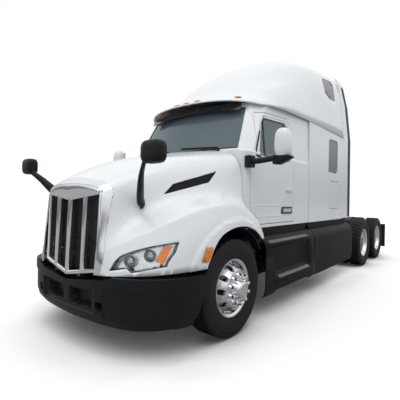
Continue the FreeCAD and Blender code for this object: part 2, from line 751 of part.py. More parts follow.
def bumper():
    outer = bumper_face(0)
    inner = bumper_face(bumper_thickness)
    ends = [Part.makeLine(outer[0].Vertexes[0].Point, inner[0].Vertexes[0].Point),
            Part.makeLine(outer[2].Vertexes[1].Point, inner[2].Vertexes[1].Point)]
    wire = Part.Wire(Part.sortEdges(outer + inner + ends)[0])
    shell = Part.Face(wire).extrude(V(0, 0, bumper_top - bumper_bottom))
    shell.translate(V(0, 0, bumper_bottom))
    dip = front_prism([(-560, 721), (-520, 700), (0, 625), (520, 700), (560, 721), (560, 800), (-560, 800)], 1000, 1400)
    back = side_prism([(640, 200), (640, 285), (540, 640), (500, 760), (300, 760), (300, 200)], 900, 1300)
    slots = [box(1000, 1400, 130, 430, 470, 600), box(1000, 1400, -430, -130, 470, 600)]
    hooks = [box(900, 1400, 560, 640, 400, 480), box(900, 1400, -640, -560, 400, 480)]
    shell = cut(shell, [dip, back, flip(back)] + slots + hooks)
    mounts = [box(940, 1200, 410, 450, 300, 640), box(940, 1200, -450, -410, 300, 640)]
    return fuse([shell] + mounts)


def fuel_tank():
    tank = lengthwise(840, 620, 300, -3200, -2150)
    strap_rear = lengthwise(840, 620, 306, -3000, -2940)
    strap_front = lengthwise(840, 620, 306, -2400, -2340)
    arm = box(-2990, -2950, rail_half_width, 560, 600, 880)
    arm2 = box(-2390, -2350, rail_half_width, 560, 600, 880)
    battery = box(-1900, -700, 560, 1000, 500, 900)
    arm3 = box(-1400, -1300, rail_half_width, 580, 740, 880)
    return fuse([tank, strap_rear, strap_front, arm, arm2]), fuse([battery, arm3])


def side_fairing():
    """Black skirt from the front wheel back, with a sloped shelf at its top."""
    plate = side_prism([(-640, 985), (-4270, 985), (-4200, 240), (-2300, 200), (-760, 260), (-690, 600)], 1160, 1180)
    shelf = box(-4270, -640, 1040, 1180, 965, 985)
    band = box(-4270, -640, 1040, 1052, 985, cab_floor)
    foot = [box(x, x + 40, 1060, 1100, 950, cab_floor) for x in (-3700, -2700, -1100)]
    return fuse([plate, shelf, band] + foot)


def step(z, x0, x1):
    return box(x0, x1, 1180, 1215, z, z + 30)


# Wheels
def tyre(x, y):
    half = tyre_width / 2
    bead = [(80, 282.67), (105, bead_radius), (115.5, 300), (128, 330), (half, 400), (134, 462), (112, 500),
            (95, tyre_radius)]
    profile = bead + [(-along, radius) for along, radius in bead[::-1]]
    body = spun(profile, y)
    body.translate(V(x, 0, tyre_radius))
    return body


def rim(x, y, dish):
    """Wheel with a disc on its outer side where dish is 1, on its inner side where it is -1."""
    barrel = [(-117, flange_radius), (-105, bead_radius), (-60, 280), (-40, 252), (50, 252), (75, 280), (105, bead_radius),
              (117, flange_radius), (117, 292), (100, 272), (60, 262), (45, 238), (-45, 238), (-66, 266), (-100, 272),
              (-117, 292)]
    disc = [(40, 245), (80, 244), (120, 228), (150, 205), (168, 190), (168, 111), (146, 111), (146, 182), (128, 196),
            (100, 216), (60, 236), (40, 238)]
    if dish < 0:
        disc = [(-along, radius) for along, radius in disc]
    ring = spun(barrel, y)
    plate = spun(disc, y)
    hole = across(0, 222, 30, y - 200, y + 200)
    plate = cut(plate, ring_of(hole, 10, 0, 0, 18))
    wheel = ring.fuse(plate)
    wheel.translate(V(x, 0, tyre_radius))
    return wheel


def front_hub(y):
    """Hub and cap of a steered wheel, bored for its spindle."""
    core = spun([(-40, 60), (146, 150), (168, 150), (168, 112), (205, 96), (238, 82), (250, 62), (250, 0), (-40, 0)], y)
    flange = spun([(120, 60), (146, 175), (168, 175), (172, 150), (172, 60)], y)
    bolts = ring_of(across(0, 142.9, 17, y + 150, y + 218), 10, 0, 0)
    hub = fuse([core, flange] + bolts)
    hub.translate(V(0, 0, tyre_radius))
    return cut(hub, [across(0, tyre_radius, 40.05, y - 60, y + 190)])


def drive_hub(x, y):
    """Hub of twin wheels, seated on the outer wheel's disc."""
    core = spun([(-250, 120), (-172, 120), (-172, 108), (-60, 100), (20, 88), (40, 70), (40, 0), (-250, 0)], y)
    flange = spun([(-148, 175), (-140, 175), (-140, 100), (-148, 100)], y)
    bolts = ring_of(across(0, 142.9, 17, y - 165, y - 95), 10, 0, 0)
    hub = fuse([core, flange] + bolts)
    hub.translate(V(x, 0, tyre_radius))
    return cut(hub, [across(x, tyre_radius, 48.05, y - 300, y - 60)])


def knuckle():
    upper = upright(0, kingpin_y, 50, 570, 612)
    lower = upright(0, kingpin_y, 50, 408, 450)
    upper_arm = box(-45, 45, kingpin_y, kingpin_y + 90, 570, 612)
    lower_arm = box(-45, 45, kingpin_y, kingpin_y + 90, 408, 450)
    web = box(-60, 60, kingpin_y + 62, kingpin_y + 92, 408, 612)
    pin = upright(0, kingpin_y, 22, 404, 616)
    spindle = across(0, tyre_radius, 40, kingpin_y + 80, front_wheel_y + 180)
    arm = plan_prism([(-30, kingpin_y - 30), (-190, kingpin_y - 25), (-190, kingpin_y + 25), (-30, kingpin_y + 40)],
                     408, 438)
    boss = upright(-190, kingpin_y, 28, 408, 438)
    body = fuse([upper, lower, upper_arm, lower_arm, web, spindle, arm, boss])
    body = body.cut(upright(-190, kingpin_y, 12.05, 400, 460))
    return body.fuse(pin)


def tie_rod():
    bar = across(-190, 375, 18, -kingpin_y, kingpin_y)
    ends = []
    for y in (kingpin_y, -kingpin_y):
        ends.append(upright(-190, y, 26, 352, 402))
        ends.append(upright(-190, y, 12, 352, 448))
    return fuse([bar] + ends)


# Fifth wheel
def fifth_wheel_base():
    side = side_prism([(fifth_wheel_x - 230, rail_top), (fifth_wheel_x + 230, rail_top), (fifth_wheel_x + 60, 1098),
                       (fifth_wheel_x - 60, 1098)], 300, 345)
    side = side.cut(across(fifth_wheel_x, 1075, 25.05, 200, 450))
    plate = box(fifth_wheel_x - 500, fifth_wheel_x + 500, -rail_half_width, rail_half_width, rail_top, rail_top + 12)
    return fuse([plate, side, flip(side)])


def fifth_wheel_plate():
    x = fifth_wheel_x
    top = fifth_wheel_top
    outline = [(x + 430, 0), (x + 400, 200), (x + 250, 400), (x, 455), (x - 260, 400), (x - 520, 330), (x - 640, 250),
               (x - 600, 120), (x - 120, 26)]
    whole = outline + [(px, -py) for px, py in outline[::-1] if py > 0]
    plate = plan_prism(whole, top - plate_thickness, top)
    throat = upright(x, 0, 25.6, top - 100, top + 100)
    lip = Part.makeTorus(1, 1)
    ears = []
    for y in (250, 360):
        ears.append(box(x - 60, x + 60, y - 10, y + 25, 1048, top - plate_thickness))
    ears = [side_prism([(x - 60, top - 40), (x - 40, 1045), (x + 40, 1045), (x + 60, top - 40)], y, y + 25)
            for y in (262, 358)]
    pin = across(x, 1075, 25, 262, 383)
    parts = [plate] + ears + [pin] + [flip(e) for e in ears] + [flip(pin)]
    return fuse(parts).cut(throat)


def mudflap():
    return box(-rear_reach, -7438, 640, 1215, 200, 810)


def mudflap_hanger():
    return box(-7438, -7400, rail_half_width, 1215, 760, 820)


def tail_lamp():
    return lengthwise(250, 860, 55, -rear_reach, -7420)


def roof_markers():
    pieces = []
    skin = roof_skin(roof_skin_depth)
    for x, y in ((-480, 0), (-485, 174), (-485, -174), (-640, 690), (-640, -690)):
        lamp = box(x - 60, x + 22, y - 45, y + 45, 2700, 2745).cut(skin)
        pieces.append(max(lamp.Solids, key=lambda solid: solid.BoundBox.XMax))
    return pieces


def cab_mirror():
    arm = box(-470, -370, 1000, 1360, 1830, 1890).cut(cab_solid(0))
    head = rounded_head((-500, 1455, 2035), 150, 230, 410, 45)
    neck = box(-470, -400, 1340, 1400, 1830, 1900)
    return fuse([arm, neck, head])


def build():
    put("frame_rails", frame_rails())
    put("front_axle", front_axle())
    put("drive_axles", drive_axles())
    put("rear_suspension", rear_suspension())
    put("engine_block", engine_block())
    put("radiator", radiator())
    put("bumper", bumper())
    put("fuel_tanks", Part.makeCompound([s for t in fuel_tank() for s in (t, flip(t))]))
    fairing = side_fairing().fuse(splash_panel())
    put("side_fairings", Part.makeCompound([fairing, flip(fairing)]))
    steps = [step(870, -1780, -620), step(430, -1700, -800)]
    put("fairing_steps", Part.makeCompound(steps + [flip(s) for s in steps]))
    put("cab_shell", cab_shell())
    put("sleeper_shell", sleeper_shell())
    put("roof_fairing", roof_fairing())
    put("windscreen", windscreen())
    put("sleeper_glass", Part.makeCompound([sleeper_glass(), upper_glass()]))
    put("side_extenders", Part.makeCompound([side_extender(), flip(side_extender())]))
    put("extender_edges", Part.makeCompound([extender_edge(), flip(extender_edge())]))
    put("sun_visor", sun_visor())
    put("dashboard", dashboard())
    put("cab_cushions", Part.makeCompound(list(cushions())))
    put("fifth_wheel_base", fifth_wheel_base())
    put("fifth_wheel_plate", fifth_wheel_plate())
    put("mudflaps", both(fuse([mudflap(), mudflap_hanger()])))
    put("tail_lamps", both(tail_lamp()))
    put("roof_markers", Part.makeCompound(roof_markers()))
    put("cab_mirrors", both(cab_mirror()))
    put("hood_shell", hood_shell())
    put("grille", grille_frame())
    put("grille_mesh", grille_mesh())
    put("headlamps", both(headlamp()))
    put("wheel_liners", both(wheel_liner()))
    put("hood_mirrors", both(hood_mirror()))
    vent = hood_skin(panel).common(vent_prism(700, 1100))
    put("hood_vents", both(vent))
    put("fender_markers", both(fender_marker()))
    for side, turn in (("left", lambda s: s), ("right", flip)):
        put("door_" + side, turn(door_panel()))
        put("door_glass_" + side, turn(door_glass()))
        put("locker_door_" + side, turn(locker_door()))
        put("knuckle_" + side, turn(knuckle()))
        put("tyre_front_" + side, turn(tyre(0, front_wheel_y)))
        put("rim_front_" + side, turn(rim(0, front_wheel_y, 1).fuse(front_hub(front_wheel_y))))
        for place, x in (("first", first_drive_axle), ("second", second_drive_axle)):
            tyres = [tyre(x, outer_dual_y), tyre(x, inner_dual_y)]
            put("tyres_" + place + "_" + side, turn(Part.makeCompound(tyres)))
            rims = fuse([rim(x, outer_dual_y, -1), rim(x, inner_dual_y, 1), drive_hub(x, outer_dual_y)])
            put("rims_" + place + "_" + side, turn(rims))
    put("tie_rod", tie_rod())


build()
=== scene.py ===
import bmesh
import bpy
import json
import math
from mathutils import Matrix, Vector
from mathutils.bvhtree import BVHTree


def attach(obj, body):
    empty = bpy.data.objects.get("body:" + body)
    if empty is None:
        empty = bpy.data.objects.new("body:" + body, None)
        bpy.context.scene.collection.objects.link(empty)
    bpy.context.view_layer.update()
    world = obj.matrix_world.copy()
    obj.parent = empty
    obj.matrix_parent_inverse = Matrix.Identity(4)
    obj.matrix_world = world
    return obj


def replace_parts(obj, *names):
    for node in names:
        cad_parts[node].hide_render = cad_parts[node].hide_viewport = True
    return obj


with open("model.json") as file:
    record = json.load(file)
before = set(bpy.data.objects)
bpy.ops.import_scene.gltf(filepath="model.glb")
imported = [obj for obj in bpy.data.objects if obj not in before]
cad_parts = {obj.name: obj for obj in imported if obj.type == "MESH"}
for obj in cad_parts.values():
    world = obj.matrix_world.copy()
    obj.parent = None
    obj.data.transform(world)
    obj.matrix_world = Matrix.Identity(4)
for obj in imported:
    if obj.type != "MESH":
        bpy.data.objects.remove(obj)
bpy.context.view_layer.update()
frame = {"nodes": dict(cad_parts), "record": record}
scene = bpy.context.scene
scene.view_settings.view_transform = "Standard"

# Shared places, in metres. X runs forward from the truck's middle, Y to its left, Z up.
AXLE_X = 3.1
TYRE_RADIUS = 0.51
FRONT_WHEEL_Y = 1.035
OUTER_DUAL_Y = 1.075
INNER_DUAL_Y = 0.735
DRIVE_AXLES = (("first", -2.12), ("second", -3.44))
SIDES = (("left", 1), ("right", -1))
# Rays that seat pieces on the truck start outside it.
RAY_START_X = AXLE_X + 2.0
RAY_START_Y = 3.0
BACKWARD = (-1, 0, 0)


def at(x, y, z):
    """A point given forward of the front axle."""
    return Vector((x + AXLE_X, y, z))


# Finishes
NOISE_SPAN = (0.3, 0.7)
GRAIN_HEIGHT = 0.001
COAT_ROUGH = 0.04


def set_inputs(node, values):
    for key, value in values.items():
        node.inputs[key].default_value = value


def node_of(tree, kind, values=None, **settings):
    """A new shader node with its settings and the values of its sockets."""
    made = tree.nodes.new(kind)
    for key, value in settings.items():
        setattr(made, key, value)
    set_inputs(made, values or {})
    return made


def noise_of(tree, scale, detail=4.0, stretch=(1, 1, 1)):
    """A noise in the piece's own metres, drawn out along an axis where asked."""
    place = node_of(tree, "ShaderNodeTexCoord")
    mapping = node_of(tree, "ShaderNodeMapping", {"Scale": stretch})
    cloud = node_of(tree, "ShaderNodeTexNoise", {"Scale": scale, "Detail": detail})
    tree.links.new(place.outputs["Object"], mapping.inputs["Vector"])
    tree.links.new(mapping.outputs["Vector"], cloud.inputs["Vector"])
    return cloud.outputs["Fac"]


def ranged(tree, source, low, high, span=NOISE_SPAN):
    """The source's values over a span, spread between low and high."""
    values = {"From Min": span[0], "From Max": span[1], "To Min": low, "To Max": high}
    spread_out = node_of(tree, "ShaderNodeMapRange", values)
    tree.links.new(source, spread_out.inputs["Value"])
    return spread_out.outputs["Result"]


def tinted(tree, source, first, second):
    """A colour that drifts from the first to the second with the source."""
    ramp = node_of(tree, "ShaderNodeValToRGB")
    for stop, place, colour in zip(ramp.color_ramp.elements, NOISE_SPAN, (first, second)):
        stop.position = place
        stop.color = (*colour, 1)
    tree.links.new(source, ramp.inputs["Fac"])
    return ramp.outputs["Color"]


def finish_of(name, colour, rough, metal=0.0, coat=0.0, shine=0.5, drift=0.06, patch=3.0, wear=0.05,
              grain=300.0, bump=0.0, stretch=(1, 1, 1)):
    """A finish whose tone and gloss drift over the piece, with a fine grain in its surface."""
    material = bpy.data.materials.new(name)
    material.use_nodes = True
    tree = material.node_tree
    shader = tree.nodes["Principled BSDF"]
    set_inputs(shader, {"Metallic": metal, "Coat Weight": coat, "Coat Roughness": COAT_ROUGH,
                        "Specular IOR Level": shine})
    broad = noise_of(tree, patch)
    fine = noise_of(tree, grain, 2.0, stretch)
    dark = [c * (1 - drift) for c in colour]
    light = [min(1.0, c * (1 + drift)) for c in colour]
    tree.links.new(tinted(tree, broad, dark, light), shader.inputs["Base Color"])
    tree.links.new(ranged(tree, fine, rough - wear, rough + wear), shader.inputs["Roughness"])
    if bump:
        raised = node_of(tree, "ShaderNodeBump", {"Strength": bump, "Distance": GRAIN_HEIGHT})
        tree.links.new(fine, raised.inputs["Height"])
        tree.links.new(raised.outputs["Normal"], shader.inputs["Normal"])
    return material


def glass_of(name, colour, clear, rough=0.02, through=1.45):
    """Tinted glass: the share that is clear lets light through and the rest is its tint."""
    material = finish_of(name, colour, rough, wear=0.01, drift=0.04, patch=1.5)
    set_inputs(material.node_tree.nodes["Principled BSDF"], {"Transmission Weight": clear, "IOR": through})
    return material


# Each row: key, material, colour, roughness, metal, coat, shine, drift, patch, wear, grain, bump
FINISH_ROWS = (
    ("body_white", "body_paint", (0.79, 0.815, 0.835), 0.26, 0, 0.6, 0.5, 0.012, 0.8, 0.03, 60, 0.004),
    ("trim_black", "charcoal_plastic", (0.007, 0.008, 0.01), 0.42, 0, 0, 0.2, 0.12, 2, 0.06, 900, 0.12),
    ("skirt_black", "skirt_plastic", (0.006, 0.007, 0.008), 0.5, 0, 0, 0.12, 0.12, 2, 0.06, 900, 0.12),
    ("gloss_black", "smooth_black", (0.012, 0.012, 0.014), 0.16, 0, 0.4, 0.5, 0.1, 3, 0.04, 300, 0),
    ("chrome_bright", "bright_chrome", (0.8, 0.81, 0.83), 0.07, 1, 0, 0.5, 0.02, 5, 0.03, 25, 0),
    ("wheel_aluminium", "polished_wheel", (0.72, 0.725, 0.74), 0.24, 1, 0, 0.5, 0.04, 9, 0.05, 70, 0.02),
    ("tread_grey", "grip_grey", (0.2, 0.205, 0.22), 0.42, 0.4, 0, 0.5, 0.12, 14, 0.12, 400, 0.2),
    ("tyre_rubber", "tyre_rubber", (0.008, 0.008, 0.009), 0.66, 0, 0, 0.3, 0.25, 5, 0.1, 220, 0.15),
    ("edge_rubber", "edge_rubber", (0.012, 0.012, 0.013), 0.55, 0, 0, 0.35, 0.15, 3, 0.08, 500, 0.1),
    ("frame_paint", "frame_paint", (0.022, 0.022, 0.024), 0.42, 0, 0.15, 0.5, 0.2, 4, 0.1, 120, 0.08),
    ("cast_dark", "cast_iron", (0.05, 0.05, 0.052), 0.58, 0.3, 0, 0.5, 0.25, 12, 0.1, 260, 0.5),
    ("greased_steel", "greased_steel", (0.07, 0.068, 0.064), 0.36, 0.8, 0, 0.5, 0.35, 9, 0.16, 60, 0.12),
    ("tank_aluminium", "brushed_tank", (0.68, 0.69, 0.71), 0.28, 1, 0, 0.5, 0.04, 6, 0.08, 160, 0.05,
     (0.05, 1, 1)),
    ("lamp_amber", "amber_lens", (0.7, 0.19, 0.015), 0.2, 0, 0.6, 0.5, 0.18, 60, 0.06, 700, 0.25),
    ("lamp_red", "red_lens", (0.42, 0.01, 0.012), 0.2, 0, 0.6, 0.5, 0.15, 60, 0.06, 700, 0.25),
    ("lamp_grey", "lamp_bowl", (0.34, 0.35, 0.37), 0.16, 0.9, 0, 0.5, 0.1, 30, 0.05, 300, 0),
    ("lamp_smoked", "projector_glass", (0.3, 0.31, 0.33), 0.1, 0.8, 0.5, 0.5, 0.1, 30, 0.04, 300, 0),
    ("lamp_silver", "lamp_reflector", (0.66, 0.67, 0.69), 0.22, 0.85, 0, 0.5, 0.08, 20, 0.06, 90, 0.03),
    ("interior_grey", "interior_moulding", (0.055, 0.056, 0.06), 0.6, 0, 0, 0.5, 0.12, 3, 0.08, 800, 0.2),
    ("seat_fabric", "seat_cloth", (0.06, 0.06, 0.068), 0.85, 0, 0, 0.5, 0.25, 160, 0.06, 900, 0.5),
    ("core_metal", "core_metal", (0.16, 0.165, 0.17), 0.45, 0.7, 0, 0.5, 0.2, 8, 0.12, 400, 0.4),
)
# Each row: key, material, colour, clear share, and where they differ the roughness and the bending of light
GLASS_ROWS = (
    ("clear_glass", "cab_glass", (0.17, 0.235, 0.265), 0.45),
    ("dark_glass", "privacy_glass", (0.17, 0.17, 0.19), 0.1, 0.08),
    ("lamp_lens", "lamp_lens", (0.95, 0.96, 0.98), 1.0, 0.02, 1.05),
)
FINISHES = {key: finish_of(*row) for key, *row in FINISH_ROWS}
FINISHES.update({key: glass_of(*row) for key, *row in GLASS_ROWS})


def dress_nodes():
    """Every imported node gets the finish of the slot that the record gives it."""
    for part in frame["record"]["subparts"]:
        node = frame["nodes"][part["node"]]
        node.data.materials.clear()
        node.data.materials.append(FINISHES[part["material_slot"]])


# Camera, floor and light
CAMERA_PLACE = (2.876, 3.046, 1.423)
CAMERA_YAW = -140.38
CAMERA_PITCH = -0.85
CAMERA_ROLL = 0.73
FOCAL_LENGTH = 29.7
CAMERA_SHIFT = (0.004, 0.01175)
SKY_SHARES = ((0.0, 0.18), (0.05, 0.25), (0.15, 0.78), (0.45, 0.98), (1.0, 1.02))
SKY_TINT = (0.97, 0.985, 1.0)
FLOOR_HALF = 90.0
FLOOR_TONES = (0.36, 0.98)
FLOOR_LIFT = 0.03
# Painted shadow on the floor: how far the occlusion reaches, the span it is spread over, and the darkest
# share of the floor's colour under the truck.
SHADOW_PAINT_REACH = 1.0
SHADOW_PAINT_SPAN = (0.22, 0.72)
SHADOW_PAINT_LEAST = 0.12
SUN_AIM = (-0.35, -0.25, -1.0)
SUN_STRENGTH = 0.8
SUN_ANGLE = 50.0


def placed(name, data):
    made = bpy.data.objects.new(name, data)
    scene.collection.objects.link(made)
    return made


def set_camera():
    yaw, pitch, roll = (math.radians(a) for a in (CAMERA_YAW, CAMERA_PITCH, CAMERA_ROLL))
    ahead = Vector((math.cos(yaw) * math.cos(pitch), math.sin(yaw) * math.cos(pitch), math.sin(pitch)))
    level = ahead.cross(Vector((0, 0, 1))).normalized()
    above = level.cross(ahead)
    right = math.cos(roll) * level + math.sin(roll) * above
    top = -math.sin(roll) * level + math.cos(roll) * above
    lens = bpy.data.cameras.new("camera")
    lens.sensor_width = 36.0
    lens.lens = FOCAL_LENGTH
    lens.shift_x, lens.shift_y = CAMERA_SHIFT
    lens.clip_start = 0.05
    lens.clip_end = 400.0
    camera = placed("camera", lens)
    turn = Matrix((right, top, -ahead)).transposed().to_4x4()
    camera.matrix_world = Matrix.Translation(at(*CAMERA_PLACE)) @ turn
    scene.camera = camera


def seen_directly(tree):
    """One for rays straight from the camera or by way of glass, and zero for the rest."""
    path = node_of(tree, "ShaderNodeLightPath")
    either = node_of(tree, "ShaderNodeMath", operation="MAXIMUM")
    tree.links.new(path.outputs["Is Camera Ray"], either.inputs[0])
    tree.links.new(path.outputs["Is Transmission Ray"], either.inputs[1])
    return either.outputs[0]


def set_world():
    """White where it is seen itself, and for its light a pale sky over a dim horizon."""
    world = bpy.data.worlds.new("world")
    world.use_nodes = True
    scene.world = world
    tree = world.node_tree
    tree.nodes.clear()
    place = node_of(tree, "ShaderNodeTexCoord")
    split = node_of(tree, "ShaderNodeSeparateXYZ")
    ramp = node_of(tree, "ShaderNodeValToRGB")
    stops = ramp.color_ramp.elements
    while len(stops) < len(SKY_SHARES):
        stops.new(0.5)
    for stop, (height, bright) in zip(stops, SKY_SHARES):
        stop.position = height
        stop.color = (*(bright * c for c in SKY_TINT), 1)
    sky = node_of(tree, "ShaderNodeBackground")
    white = node_of(tree, "ShaderNodeBackground", {"Color": (1, 1, 1, 1)})
    mix = node_of(tree, "ShaderNodeMixShader")
    end = node_of(tree, "ShaderNodeOutputWorld")
    for source, target in ((place.outputs["Generated"], split.inputs[0]),
                           (split.outputs["Z"], ramp.inputs["Fac"]),
                           (ramp.outputs["Color"], sky.inputs["Color"]),
                           (seen_directly(tree), mix.inputs["Fac"]),
                           (sky.outputs[0], mix.inputs[1]), (white.outputs[0], mix.inputs[2]),
                           (mix.outputs[0], end.inputs["Surface"])):
        tree.links.new(source, target)


def set_floor():
    """A pale floor that throws back little light, with a painted shadow darkening its colour close to the
    truck, on top of the shadow the light casts there.
    """
    material = bpy.data.materials.new("floor")
    material.use_nodes = True
    tree = material.node_tree
    shader = tree.nodes["Principled BSDF"]
    set_inputs(shader, {"Roughness": 0.9, "Specular IOR Level": 0.0, "Emission Color": (1, 1, 1, 1)})
    direct = seen_directly(tree)
    tone = ranged(tree, direct, *FLOOR_TONES, span=(0.0, 1.0))
    # Painted shadow: occlusion darkens the floor's own colour close to and under the truck.
    near = node_of(tree, "ShaderNodeAmbientOcclusion", {"Distance": SHADOW_PAINT_REACH}, samples=8)
    depth = ranged(tree, near.outputs["AO"], SHADOW_PAINT_LEAST, 1.0, span=SHADOW_PAINT_SPAN)
    for first, second, target in ((depth, tone, "Base Color"), (direct, None, "Emission Strength")):
        product = node_of(tree, "ShaderNodeMath", operation="MULTIPLY")
        product.inputs[1].default_value = FLOOR_LIFT
        tree.links.new(first, product.inputs[0])
        if second:
            tree.links.new(second, product.inputs[1])
        tree.links.new(product.outputs[0], shader.inputs[target])
    mesh = bpy.data.meshes.new("floor")
    corners = [(x * FLOOR_HALF, y * FLOOR_HALF, 0) for x, y in ((-1, -1), (1, -1), (1, 1), (-1, 1))]
    mesh.from_pydata(corners, [], [(0, 1, 2, 3)])
    mesh.materials.append(material)
    placed("floor", mesh)


def add_sun():
    light = bpy.data.lights.new("high_sun", "SUN")
    light.energy = SUN_STRENGTH
    light.angle = math.radians(SUN_ANGLE)
    lamp = placed("high_sun", light)
    lamp.rotation_mode = "QUATERNION"
    lamp.rotation_quaternion = Vector(SUN_AIM).to_track_quat("-Z", "Y")


# Building forms point by point
class Form:
    """Points and faces gathered for one piece."""

    def __init__(self):
        self.points = []
        self.faces = []

    def loft(self, rings, closed=True, caps=True):
        """Joins rings of equal counts by quads, and closes the ends."""
        start = len(self.points)
        count = len(rings[0])
        for ring in rings:
            self.points += [Vector(p) for p in ring]
        around = count if closed else count - 1
        for i in range(len(rings) - 1):
            for j in range(around):
                a = start + i * count + j
                b = start + i * count + (j + 1) % count
                self.faces.append((a, b, b + count, a + count))
        if caps:
            last = start + (len(rings) - 1) * count
            self.faces.append(tuple(range(start + count - 1, start - 1, -1)))
            self.faces.append(tuple(range(last, last + count)))
        return self

    def turned(self, profile, centre, axis, count=32):
        """Profile of (along, radius) points turned about an axis through the centre."""
        along = Vector(axis).normalized()
        across = along.orthogonal().normalized()
        other = along.cross(across)
        rings = []
        for reach, radius in profile:
            middle = Vector(centre) + along * reach
            rings.append([middle + (across * math.cos(a) + other * math.sin(a)) * radius
                          for a in (2 * math.pi * k / count for k in range(count))])
        return self.loft(rings)

    def tube(self, path, radii, count=12, flat=1.0):
        """A round or flattened bar along a path; radii is one number or one for each point."""
        points = [Vector(p) for p in path]
        if not isinstance(radii, (list, tuple)):
            radii = [radii] * len(points)
        rings = []
        side = None
        for i, p in enumerate(points):
            ahead = (points[min(i + 1, len(points) - 1)] - points[max(i - 1, 0)]).normalized()
            side = ahead.orthogonal() if side is None else side - ahead * side.dot(ahead)
            side.normalize()
            other = ahead.cross(side)
            rings.append([p + (side * math.cos(a) * flat + other * math.sin(a)) * radii[i]
                          for a in (2 * math.pi * k / count for k in range(count))])
        return self.loft(rings)

    def slab(self, outline, push, chamfer=0.0):
        """A flat outline of points carried along push, with its rims chamfered."""
        ring = [Vector(p) for p in outline]
        push = Vector(push)
        middle = sum(ring, Vector()) / len(ring)
        if not chamfer:
            return self.loft([ring, [p + push for p in ring]])
        step = push.normalized() * chamfer
        small = [p + (middle - p).normalized() * chamfer for p in ring]
        return self.loft([small, [p + step for p in ring], [p + push - step for p in ring],
                          [p + push for p in small]])

    def trimmed(self):
        """The same form without the points that no face uses."""
        used = sorted({i for face in self.faces for i in face})
        place = {old: new for new, old in enumerate(used)}
        self.points = [self.points[i] for i in used]
        self.faces = [tuple(place[i] for i in face) for face in self.faces]
        return self

    def mirrored(self):
        """The same form on the truck's other side."""
        other = Form()
        other.points = [Vector((p.x, -p.y, p.z)) for p in self.points]
        other.faces = [tuple(reversed(f)) for f in self.faces]
        return other

    def joined(self, other):
        start = len(self.points)
        self.points += other.points
        self.faces += [tuple(i + start for i in f) for f in other.faces]
        return self

    def both(self):
        return self.joined(self.mirrored())

    def copied(self, other):
        self.points = list(other.points)
        self.faces = list(other.faces)
        return self

    def piece(self, name, body, slot, sharp=35.0, bevel=0.0, finish=None, weld=False):
        mesh = bpy.data.meshes.new(name)
        mesh.from_pydata([tuple(p) for p in self.points], [], self.faces)
        work = bmesh.new()
        work.from_mesh(mesh)
        if weld:
            bmesh.ops.remove_doubles(work, verts=work.verts, dist=0.0002)
        bmesh.ops.recalc_face_normals(work, faces=work.faces)
        work.to_mesh(mesh)
        work.free()
        mesh.shade_smooth()
        mesh.set_sharp_from_angle(angle=math.radians(sharp))
        mesh.materials.append(FINISHES[finish or slot])
        made = placed(name, mesh)
        if bevel:
            soften(made, bevel)
        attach(made, body)
        return made


def soften(piece, width):
    round_off = piece.modifiers.new("round_off", "BEVEL")
    round_off.width = width
    round_off.segments = 2
    round_off.limit_method = "ANGLE"
    round_off.angle_limit = math.radians(40)


def walled(piece, thick):
    """Gives an open sheet an even thickness about its own surface."""
    wall = piece.modifiers.new("wall", "SOLIDIFY")
    wall.thickness = thick
    wall.offset = 0.0
    return piece


# Wheels
SIDEWALL = [(0.088, 0.284), (0.105, 0.2865), (0.113, 0.296), (0.1165, 0.308), (0.121, 0.311),
            (0.124, 0.322), (0.13, 0.345), (0.136, 0.372), (0.1395, 0.398), (0.14, 0.42), (0.1425, 0.424),
            (0.1425, 0.432), (0.1395, 0.436), (0.137, 0.455), (0.133, 0.472), (0.1345, 0.476),
            (0.131, 0.486), (0.124, 0.497), (0.116, 0.5045)]
RIBS = ((0.112, 0.07), (0.062, 0.028), (0.02, -0.02), (-0.028, -0.062), (-0.07, -0.112))
TREAD_DEPTH = 0.013
SHALLOW_CUT = 0.006
GROOVE_DRAFT = 0.001
CROWN_FALL = 0.12
STEPS_ROUND = 180
CUT_EVERY = 5
NUT_COUNT = 10
NUT_CIRCLE = 0.1429
NUT_COVER = ((0.0, 0.0265), (0.005, 0.0275), (0.01, 0.0245), (0.014, 0.0215), (0.046, 0.0195),
             (0.056, 0.0175), (0.062, 0.011), (0.064, 0.002))
FRONT_NUTS_OUT = 0.168
DRIVE_NUTS_IN = 0.14
FLAT_SHADE = 28


def tyre_ring(step, cut_depth):
    """The tyre's section as (along, radius) at one step round, with its ribs cut across at every fifth."""
    floor = TYRE_RADIUS - TREAD_DEPTH
    ring = list(SIDEWALL)
    for rib in RIBS:
        outer, inner = rib
        middle = 0.5 * (outer + inner)
        late = 0 if rib in (RIBS[0], RIBS[-1]) else 2
        cut = (step + late) % CUT_EVERY == 0
        top = TYRE_RADIUS - CROWN_FALL * middle ** 2 - (cut_depth if cut else 0.0)
        if rib != RIBS[0]:
            ring.append((outer + GROOVE_DRAFT, floor))
        ring += [(outer, top), (middle, top), (inner, top)]
        if rib != RIBS[-1]:
            ring.append((inner - GROOVE_DRAFT, floor))
    return ring + [(-along, radius) for along, radius in SIDEWALL[::-1]]


def tyre_form(x, y, cut_depth):
    """A tyre with ribs, grooves and cross cuts in its tread."""
    rings = []
    for step in range(STEPS_ROUND):
        angle = 2 * math.pi * step / STEPS_ROUND
        rings.append([(x + math.sin(angle) * radius, y + along, TYRE_RADIUS + math.cos(angle) * radius)
                      for along, radius in tyre_ring(step, cut_depth)])
    return Form().loft(rings + rings[:1], caps=False)


def nut_form(x, y, out):
    """Chrome covers over the wheel nuts."""
    form = Form()
    for k in range(NUT_COUNT):
        angle = 2 * math.pi * k / NUT_COUNT
        centre = (x + NUT_CIRCLE * math.sin(angle), y, TYRE_RADIUS + NUT_CIRCLE * math.cos(angle))
        form.turned(NUT_COVER, centre, (0, out, 0), 16)
    return form


